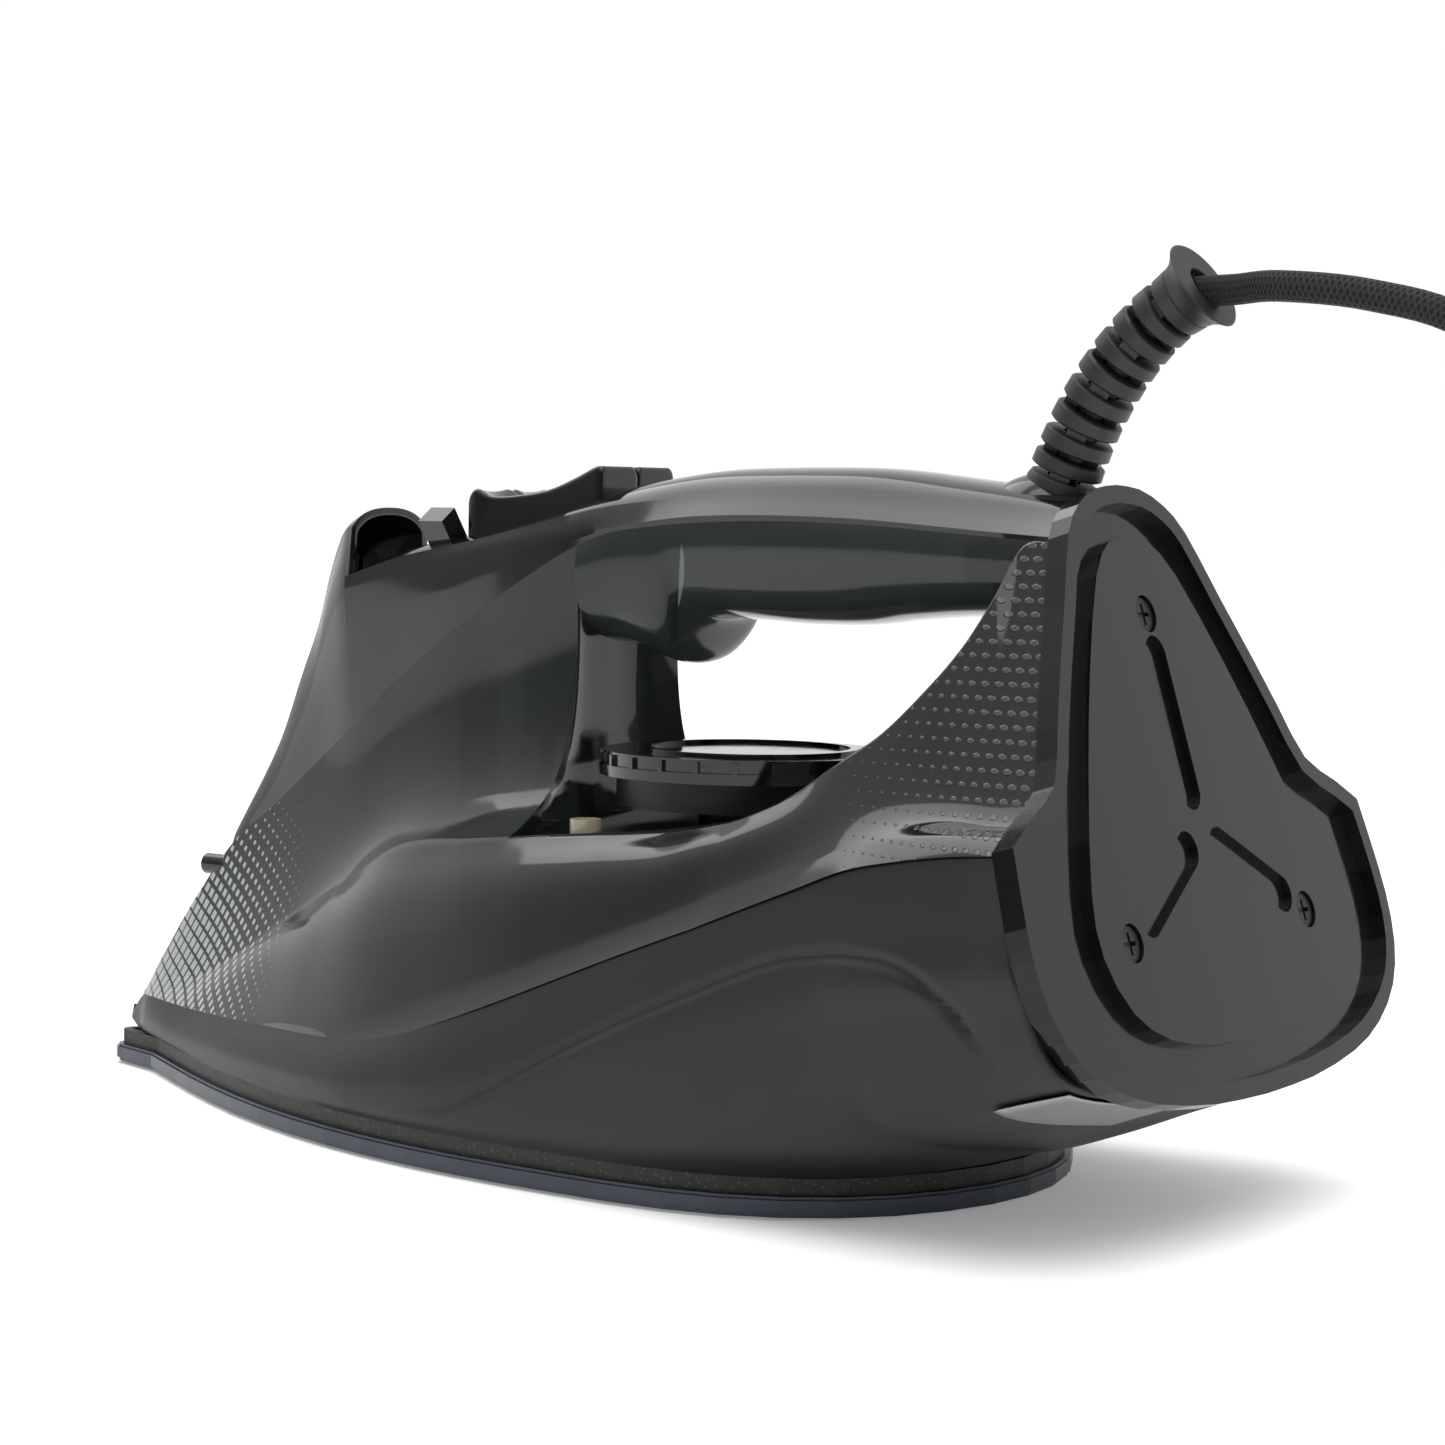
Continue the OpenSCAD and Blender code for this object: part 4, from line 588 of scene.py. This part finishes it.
def cord_line():
    """The cord from inside the guard, down behind the iron, round the coil and into the plug."""
    gx, _, gz = GUARD[-1]
    lie = CORD_D / 2 + 0.15
    r_out = coil_r - CORD_D / 2 - 0.1
    lane = coil[1] - r_out
    keys = [[gx - 2, 0, gz - 1.2], [gx + 6, 0, gz - 1.0], [gx + 15, 0, gz - 0.6], [gx + 32, 0, gz - 2.6],
            [gx + 50, -1, gz - 8], [gx + 66, -3, gz - 22], [gx + 76, -5, gz - 45],
            [gx + 82, -8, gz - 76], [gx + 87, -10, gz - 108], [gx + 93, -12, 34],
            [gx + 103, lane + 0.6, 14], [gx + 118, lane, 5.6], [gx + 136, lane, lie], [coil[0] - 5, lane, lie]]
    line = smooth(keys, 6)
    for k in range(TURNS * TURN_STEPS + 1):
        t = k / TURN_STEPS
        if t <= LAYER_TURNS:
            r = mix(r_out, INNER_R, t / LAYER_TURNS)
        elif t <= CLIMB[1]:
            r = INNER_R
        else:
            r = mix(INNER_R, r_out, (t - CLIMB[1]) / (TURNS - CLIMB[1]))
        lift = min(max((t - CLIMB[0]) / (CLIMB[1] - CLIMB[0]), 0.0), 1.0) * (CORD_D + LAYER_GAP)
        a = math.radians(-90) + 2 * math.pi * t
        line.append([coil[0] + r * math.cos(a), coil[1] + r * math.sin(a), lie + lift])
    start = [coil[0], lane, lie + CORD_D + LAYER_GAP]
    end = [plug_lo.x / MM + 2, lane, (plug_lo.z + plug_hi.z) / 2 / MM]
    for t in (0.3, 0.6, 1.0):
        line.append([mix(start[0], end[0], t), mix(start[1], end[1], t),
                     mix(start[2], end[2], t * t * (3 - 2 * t))])
    return line


line = cord_line()
cord_data = bpy.data.curves.new("vis_cord", "CURVE")
cord_data.dimensions = "3D"
cord_data.bevel_depth = CORD_D / 2 * MM
cord_data.bevel_resolution = 4
cord_data.use_fill_caps = True
spline = cord_data.splines.new("POLY")
spline.points.add(len(line) - 1)
for point, at in zip(spline.points, line):
    point.co = (at[0] * MM, at[1] * MM, at[2] * MM, 1)
cord_data.materials.append(M_BRAID)
cord_ob = bpy.data.objects.new("vis_cord", cord_data)
bpy.context.scene.collection.objects.link(cord_ob)
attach(cord_ob, "swivel")
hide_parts("cord", "cord_coil")

# ---------------------------------------------------------------- shells
# The crease along the housing's side: x and z in the frame.
SWOOSH = [
    [-142, 9.0], [-60, 9.5], [-25, 10.2], [-3.5, 12.1], [9.7, 17.0], [19.2, 22.0], [28.6, 26.9],
    [42.3, 33.5], [57.9, 40.2], [70.8, 45.6], [79.3, 48.4], [89.6, 50.1], [95.8, 50.5], [103.9, 50.0],
    [111.8, 47.2], [120.8, 39.8], [128.0, 28.0], [131, 20.0]]


def ramp(x, start, run): return max(0.0, min((x - start) / run, 1))


def groove(v):
    """The crease and the step above it, faded in behind the nose and out before the rear end."""
    x, y, z = v
    s = curve(SWOOSH, max(SWOOSH[0][0], min(x, SWOOSH[-1][0])), 1)
    k = ramp(x, -12, 22) * max(0.0, min((127 - x) / 8, 1))
    d = 0.85 * k * math.exp(-((z - s) / 1.1)**2)
    step = 0.35 * k / (1 + math.exp(-(z - s) / 0.9))
    m = 1 - (d + step + 0.45 * ramp(x, 60, 30)) / max(abs(y), 12)
    return (x, y * m, z)


hull = [[groove(v) for v in whole(hull_half(x), x)] for x in steps(HOUSING_START, REAR_END, 190)]
verts, faces = skin(hull)
faces = [q[::-1] for q in faces]
verts.append((hull[0][0][0] - 0.3, 0, 12.5))
faces += [(k, k + 1, len(verts) - 1) for k in range(len(hull[0]) - 1)]
housing = new_mesh("vis_housing", verts, faces, M_CHAR, angle=40, slot="charcoal")
solidify(housing, 1.6)
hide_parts("lower_housing")

LABEL_X = (263.0, 280.0)
LABEL_ROWS = slice(66, 84, 2)  # of the housing's half section
LABEL_GAP = 0.35
patch = []
for x in steps(*LABEL_X, 12):
    patch.append([place(x, -q[0], q[1]) for q in thin(hull_half(x), -LABEL_GAP)[LABEL_ROWS]])
label = new_mesh("vis_label", *skin(patch), M_FOIL, slot="foil")
solidify(label, 0.25, 1.0)
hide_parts("rating_label")


def column_back(verts, faces, last, columns=12):
    """Closes the tank's rear end across, hollowed above the dial."""
    n = len(last)
    base = len(verts) - n
    rows = []
    for k in range((n - 1) // 2):
        p = last[k]
        row = [base + k]
        for j in range(1, columns):
            u = 1 - 2 * j / columns
            dent = 6.0 * ramp(p[2], FLOOR + 58, 10) * (1 - u**4)
            verts.append((p[0] - dent, p[1] * u, p[2]))
            row.append(len(verts) - 1)
        rows.append(row + [base + n - 1 - k])
    for a, b in zip(rows, rows[1:]):
        faces += [(a[i], a[i + 1], b[i + 1], b[i]) for i in range(columns)]


tank = [whole(tank_half(x), x) for x in steps(TANK_START, TANK_END, 110)]
verts, faces = skin(tank)
column_back(verts, faces, tank[-1])
pivot = [c / MM for c in JOINTS["lever_turn"]["pos_m"]]
faces = opened(verts, faces, (pivot[0] - 8, -9, pivot[2] - 16), (pivot[0] + 8, 9, pivot[2] + 16))
tank_ob = new_mesh("vis_tank", verts, faces, M_TANK, angle=38, slot="smoke")
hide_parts("water_tank", "column_shell")

rear = [whole(rear_half(x), x) for x in steps(TANK_END, REAR_END, 120)]
rear_ob = new_mesh("vis_rear", *skin(rear), M_REAR, angle=40, slot="smoke")
bevel(rear_ob, 0.7, 3, 40)
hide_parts("rear_shell")

# More sections where the underside turns down to the finger stop.
grip = [whole(grip_half(x), x) for x in sorted(steps(142.9, 279.0, 76) + steps(160, 168, 18))]
verts, faces = skin(grip)
grip_ob = new_mesh("vis_grip", verts, [q[::-1] for q in faces], M_GRIP, angle=45, slot="smoke")
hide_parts("grip_shell")

HOOD_BACK = 79
# Rings that close the hood's rear end: how far behind it, and how large against its last section.
HOOD_RINGS = ((0.25, 0.97), (0.1, 0.86), (-1.2, 0.80), (-3.4, 0.68), (-5.6, 0.5), (-7.2, 0.3), (-8.0, 0.05))
hood = [whole(cover_half(HOOD, x), x) for x in steps(36, HOOD_BACK, 50)]
verts, faces = skin(hood)
n = len(hood[0])
cx, cz = at_x(HOOD_BACK), at_z(114)
last = list(range(len(verts) - n, len(verts)))
for back, size in HOOD_RINGS:
    ring = list(range(len(verts), len(verts) + n))
    verts += [(cx + back, p[1] * size, cz + (p[2] - cz) * size) for p in hood[-1]]
    faces += [(last[k], last[k + 1], ring[k + 1], ring[k]) for k in range(n - 1)]
    last = ring
hood_ob = new_mesh("vis_hood", verts, faces, M_GLOSS, angle=45, slot="gloss")

top = [whole(cover_half(TOP, x), x) for x in steps(78.2, 100.0, 40) + steps(101.5, REAR_END, 110)]
verts, faces = skin(top)
n = len(top[0])
verts.append((top[-1][0][0], 0, top[-1][0][2]))
end = len(verts) - 1
faces += [(end - n + k, end - n + k + 1, end) for k in range(n - 1)]
door_lo, door_hi = (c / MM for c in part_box("filler_door"))
faces = opened(verts, faces, (door_lo.x - 0.6, door_lo.y - 0.4, door_lo.z - 20),
               (door_hi.x + 0.8, door_hi.y + 0.4, door_hi.z + 20))
top_ob = new_mesh("vis_cover", verts, faces, M_GLOSS, angle=30, slot="gloss")
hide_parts("handle_cover")
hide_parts("handle_cover")

# ---------------------------------------------------------------- buttons
# The saddle's height above the cover along its middle line.
RISE = [[0.0, 8.3], [0.05, 8.5], [0.16, 6.6], [0.38, 5.4], [0.62, 4.5], [0.82, 4.7], [0.93, 5.2], [1.0, 5.3]]


def cover_z(x): return at_z(curve(TOP, (x - NOSE) / KX, 5))


def edge_drop(d, r):
    """How far a rounded edge of radius r has dropped at d mm from the end."""
    return r - math.sqrt(max(r * r - (r - min(d, r))**2, 0))


def soft_button(cad, body):
    """A saddle: high front rim, a hollow for the thumb, a raised tail."""
    lo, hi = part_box(cad)
    lo, hi = lo / MM, hi / MM
    length, width = hi.x - lo.x, hi.y - lo.y
    grid = []
    us = [0, 0.004, 0.012, 0.025, 0.045] + steps(0.06, 0.94, 36) + [0.955, 0.975, 0.988, 0.996, 1]
    ws = [0, 0.01, 0.03, 0.06, 0.1] + steps(0.14, 0.86, 13) + [0.9, 0.94, 0.97, 0.99, 1]
    for u in us:
        x = lo.x + u * length
        row = []
        for w in ws:
            hollow = 1.7 * (1 - (2 * w - 1)**2) * math.exp(-((u - 0.30) / 0.30)**2)
            z = cover_z(x) + curve(RISE, u, 1) - hollow
            z -= edge_drop(min(u, 1 - u) * length, 1.6) + edge_drop(min(w, 1 - w) * width, 1.3)
            row.append((x, lo.y + w * width, min(z, hi.z)))
        low = max(lo.z, cover_z(x) - 5)
        grid.append([(x, lo.y, low)] + row + [(x, hi.y, low)])
    for end in (0, -1):
        flat = [(p[0], p[1], max(lo.z, cover_z(p[0]) - 5)) for p in grid[end]]
        grid.insert(0, flat) if end == 0 else grid.append(flat)
    ob = new_mesh("vis_" + cad, *skin(grid), M_GLOSS, body=body, angle=60, slot="gloss")
    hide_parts(cad)


soft_button("spray_button", "spray_key")
soft_button("steam_button", "steam_key")

# ---------------------------------------------------------------- cord guard
GUARD_LINE = [Vector(p) for p in smooth([list(p) for p in GUARD], 10)]
RINGS = 8
RING_FROM, RING_RUN, RING_HALF = 0.20, 0.62, 0.031  # shares of the guard's length
BORE = 3.2


def frame_on(t):
    """The point at the share t of the guard's line, its direction and two cross directions."""
    s = t * (len(GUARD_LINE) - 1)
    i = min(int(s), len(GUARD_LINE) - 2)
    p = GUARD_LINE[i].lerp(GUARD_LINE[i + 1], s - i)
    a = GUARD_LINE[max(i - 1, 0)]
    b = GUARD_LINE[min(i + 2, len(GUARD_LINE) - 1)]
    d = (b - a).normalized()
    side = Vector((0, 1, 0))
    return p, d, side, d.cross(side)


def on_circle(p, a, b, r, w):
    return tuple(p + a * (r * math.cos(w)) + b * (r * math.sin(w)))


def band(parts, t0, t1, r0, r1, inner, seg=40, bell=False):
    """A closed ring of material along the guard between t0 and t1."""
    verts, faces = parts
    first = len(verts)
    e = min(0.5, abs(t1 - t0) * 12)
    if bell:
        prof = [(t0, inner), (t0, r0), (mix(t0, t1, 0.4), mix(r0, r1, 0.22)),
                (mix(t0, t1, 0.75), mix(r0, r1, 0.66)), (mix(t0, t1, 0.93), r1), (t1, r1 - 0.3),
                (t1, 3.6), (mix(t0, t1, 0.6), inner)]
    else:
        prof = [(t0, inner), (t0, r0 - e), (t0 + (t1 - t0) * 0.12, r0),
                (t1 - (t1 - t0) * 0.12, r1), (t1, r1 - e), (t1, inner)]
    for t, r in prof:
        p, d, a, b = frame_on(min(max(t, 0), 1))
        if t < 0:
            p = p + d * (t * 40)
        verts += [on_circle(p, a, b, r, 2 * math.pi * k / seg) for k in range(seg)]
    m = len(prof)
    for i in range(m):
        q = first + i * seg
        w = first + ((i + 1) % m) * seg
        faces += [(q + k, q + (k + 1) % seg, w + (k + 1) % seg, w + k) for k in range(seg)]


def bridge(parts, t0, t1, turn, reach, capped):
    """A bar that joins two rings of the guard, turn degrees round it."""
    verts, faces = parts
    q = len(verts)
    for t in (t0, t1):
        p, d, a, b = frame_on(t)
        for r, s in ((3.0, -0.42), (reach, -0.34), (reach, 0.34), (3.0, 0.42)):
            verts.append(on_circle(p, a, b, r, math.radians(turn) + s))
    faces += [(q, q + 1, q + 5, q + 4), (q + 1, q + 2, q + 6, q + 5), (q + 2, q + 3, q + 7, q + 6),
              (q + 3, q, q + 4, q + 7)]
    if capped:
        faces += [(q, q + 3, q + 2, q + 1), (q + 4, q + 5, q + 6, q + 7)]


def ring_at(i): return RING_FROM + RING_RUN * i / (RINGS - 1)


parts = ([], [])
band(parts, -0.06, 0.14, 6.8, 6.6, BORE)
for i in range(RINGS):
    t = ring_at(i)
    band(parts, t - RING_HALF, t + RING_HALF, 6.7 - 0.6 * i / RINGS, 6.6 - 0.6 * i / RINGS, BORE)
band(parts, 0.865, 0.93, 6.0, 6.3, BORE)
band(parts, 0.925, 1.0, 6.2, 8.7, 3.1, bell=True)
for i in range(RINGS):
    for j in (0, 1):
        bridge(parts, 0.14 if i == 0 else ring_at(i - 1), ring_at(i), 90 * (i % 2) + 180 * j + 20, 5.6, True)
for j in (0, 1, 2):
    bridge(parts, RING_FROM + RING_RUN, 0.93, 120 * j + 60, 5.5, False)
guard_ob = new_mesh("vis_guard", *parts, M_RUBBER, body="swivel", angle=40, slot="rubber")
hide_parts("cord_guard")

verts, faces = [], []
CORE_ROWS, CORE_SEG, CORE_R = 30, 20, 2.75
for i in range(CORE_ROWS + 1):
    p, d, a, b = frame_on(i / CORE_ROWS)
    verts += [on_circle(p, a, b, CORE_R, 2 * math.pi * k / CORE_SEG) for k in range(CORE_SEG)]
for i in range(CORE_ROWS):
    q, w = i * CORE_SEG, (i + 1) * CORE_SEG
    faces += [(q + k, q + (k + 1) % CORE_SEG, w + (k + 1) % CORE_SEG, w + k) for k in range(CORE_SEG)]
new_mesh("vis_cord_in_guard", verts, faces, M_RUBBER, body="swivel", slot="braid")

# ---------------------------------------------------------------- materials on the CAD pieces
# Only the pieces that are shown as the CAD has them.
LOOKS = {
    "soleplate": M_SOLE, "skirt": M_SKIRT, "steam_casting": M_CAST, "heating_element": M_STEEL,
    "chamber_seal": M_SEAL, "chamber_cover": M_CAST, "chassis_plate": M_BOARD, "tank_base": M_SMOKE,
    "tank_baffles": M_SMOKE, "filler_neck": M_SMOKE, "filler_seal": M_SEAL, "filler_door": M_GLOSS,
    "filler_pin": M_STEEL, "spray_nozzle": M_GLOSS, "steam_lever": M_GLOSS, "lever_pin": M_STEEL,
    "valve_rod": M_STEEL, "valve_tube": M_SMOKE, "valve_seat": M_BRASS, "valve_spring": M_STEEL,
    "button_springs": M_STEEL, "spray_piston": M_WHITE, "steam_piston": M_WHITE, "pumps": M_WHITE,
    "pump_hoses": M_HOSE, "dial": M_GLOSS, "dial_shaft": M_STEEL, "dial_plinth": M_CHAR,
    "thermostat": M_WHITE, "thermal_fuse": M_WHITE, "pilot_lamp": M_LAMP, "terminal_block": M_WHITE,
    "wires": M_WIRE, "heel_frame": M_HEEL, "heel_plate": M_HEEL, "heel_screws": M_CHAR,
    "ball_seat": M_CHAR, "cord_ball": M_GLOSS, "inner_lead": M_WIRE, "cord_clamp": M_WHITE,
    "coil_tie": M_RUBBER, "plug_body": M_RUBBER, "plug_pins": M_BRASS}
# Their rounded edges, in mm.
ROUND = {
    "soleplate": 0.5, "skirt": 0.3, "heel_frame": 0.9, "heel_plate": 0.5, "steam_lever": 0.6, "dial": 0.4,
    "dial_plinth": 0.4, "plug_body": 1.0, "coil_tie": 0.4, "spray_nozzle": 0.3, "filler_door": 0.2,
    "plug_pins": 0.4}
for o in [o for o in bpy.data.objects if o.type == "MESH"]:
    name = o.name.split(".")[0]
    if name in LOOKS:
        o.data.materials.clear()
        o.data.materials.append(LOOKS[name])
        if name in ROUND:
            bevel(o, ROUND[name], 3, 30)

# ---------------------------------------------------------------- room and light
bpy.ops.mesh.primitive_plane_add(size=14, location=(0, 0, -0.0006))
floor = bpy.context.object
floor.name = "floor"
floor_mat, _, floor_p = principled("floor_white", (0.93, 0.93, 0.93), 0.9, spec=0.0)
floor_p.inputs["Emission Color"].default_value = (1, 1, 1, 1)
floor_p.inputs["Emission Strength"].default_value = 0.22
floor.data.materials.append(floor_mat)

# The room is dark behind the camera, so that the black shells keep dark reflections, and white to the eye.
world = bpy.data.worlds.new("studio")
bpy.context.scene.world = world
world.use_nodes = True
sky_tree = world.node_tree
background = sky_tree.nodes["Background"]
sky_vec = node(sky_tree, "ShaderNodeTexCoord").outputs["Generated"]


def along(d):
    dot = node(sky_tree, "ShaderNodeVectorMath", operation="DOT_PRODUCT")
    sky_tree.links.new(sky_vec, dot.inputs[0])
    dot.inputs[1].default_value = d
    return dot.outputs["Value"]


front = map_range(sky_tree, along(tuple(float(c) for c in ahead)), -0.45, 0.35, 0.10, 1.0)
above = map_range(sky_tree, along((0, 0, 1)), 0.15, 0.75, 0.0, 0.95)
seen = math_node(sky_tree, "MAXIMUM", front, above)
ray = node(sky_tree, "ShaderNodeLightPath")
strength = math_node(sky_tree, "MAXIMUM", seen, ray.outputs["Is Camera Ray"])
sky_tree.links.new(strength, background.inputs["Strength"])
background.inputs["Color"].default_value = (1, 1, 1, 1)


def lamp(name, kind, aim, axis, at=(0, 0, 0), **kw):
    """A light whose axis points along aim."""
    data = bpy.data.lights.new(name, kind)
    for k, v in kw.items():
        setattr(data, k, v)
    ob = bpy.data.objects.new(name, data)
    ob.location = at
    ob.rotation_euler = Vector(aim).to_track_quat(axis, "Y").to_euler()
    bpy.context.scene.collection.objects.link(ob)


SUN_FROM = (0.22, -0.18, 1)
KEY_AT = Vector((-0.9, 0.3, 1.3))
lamp("sun", "SUN", SUN_FROM, "Z", energy=1.5, angle=math.radians(55))
lamp("key", "AREA", -KEY_AT, "-Z", at=KEY_AT, size=1.0, energy=6)
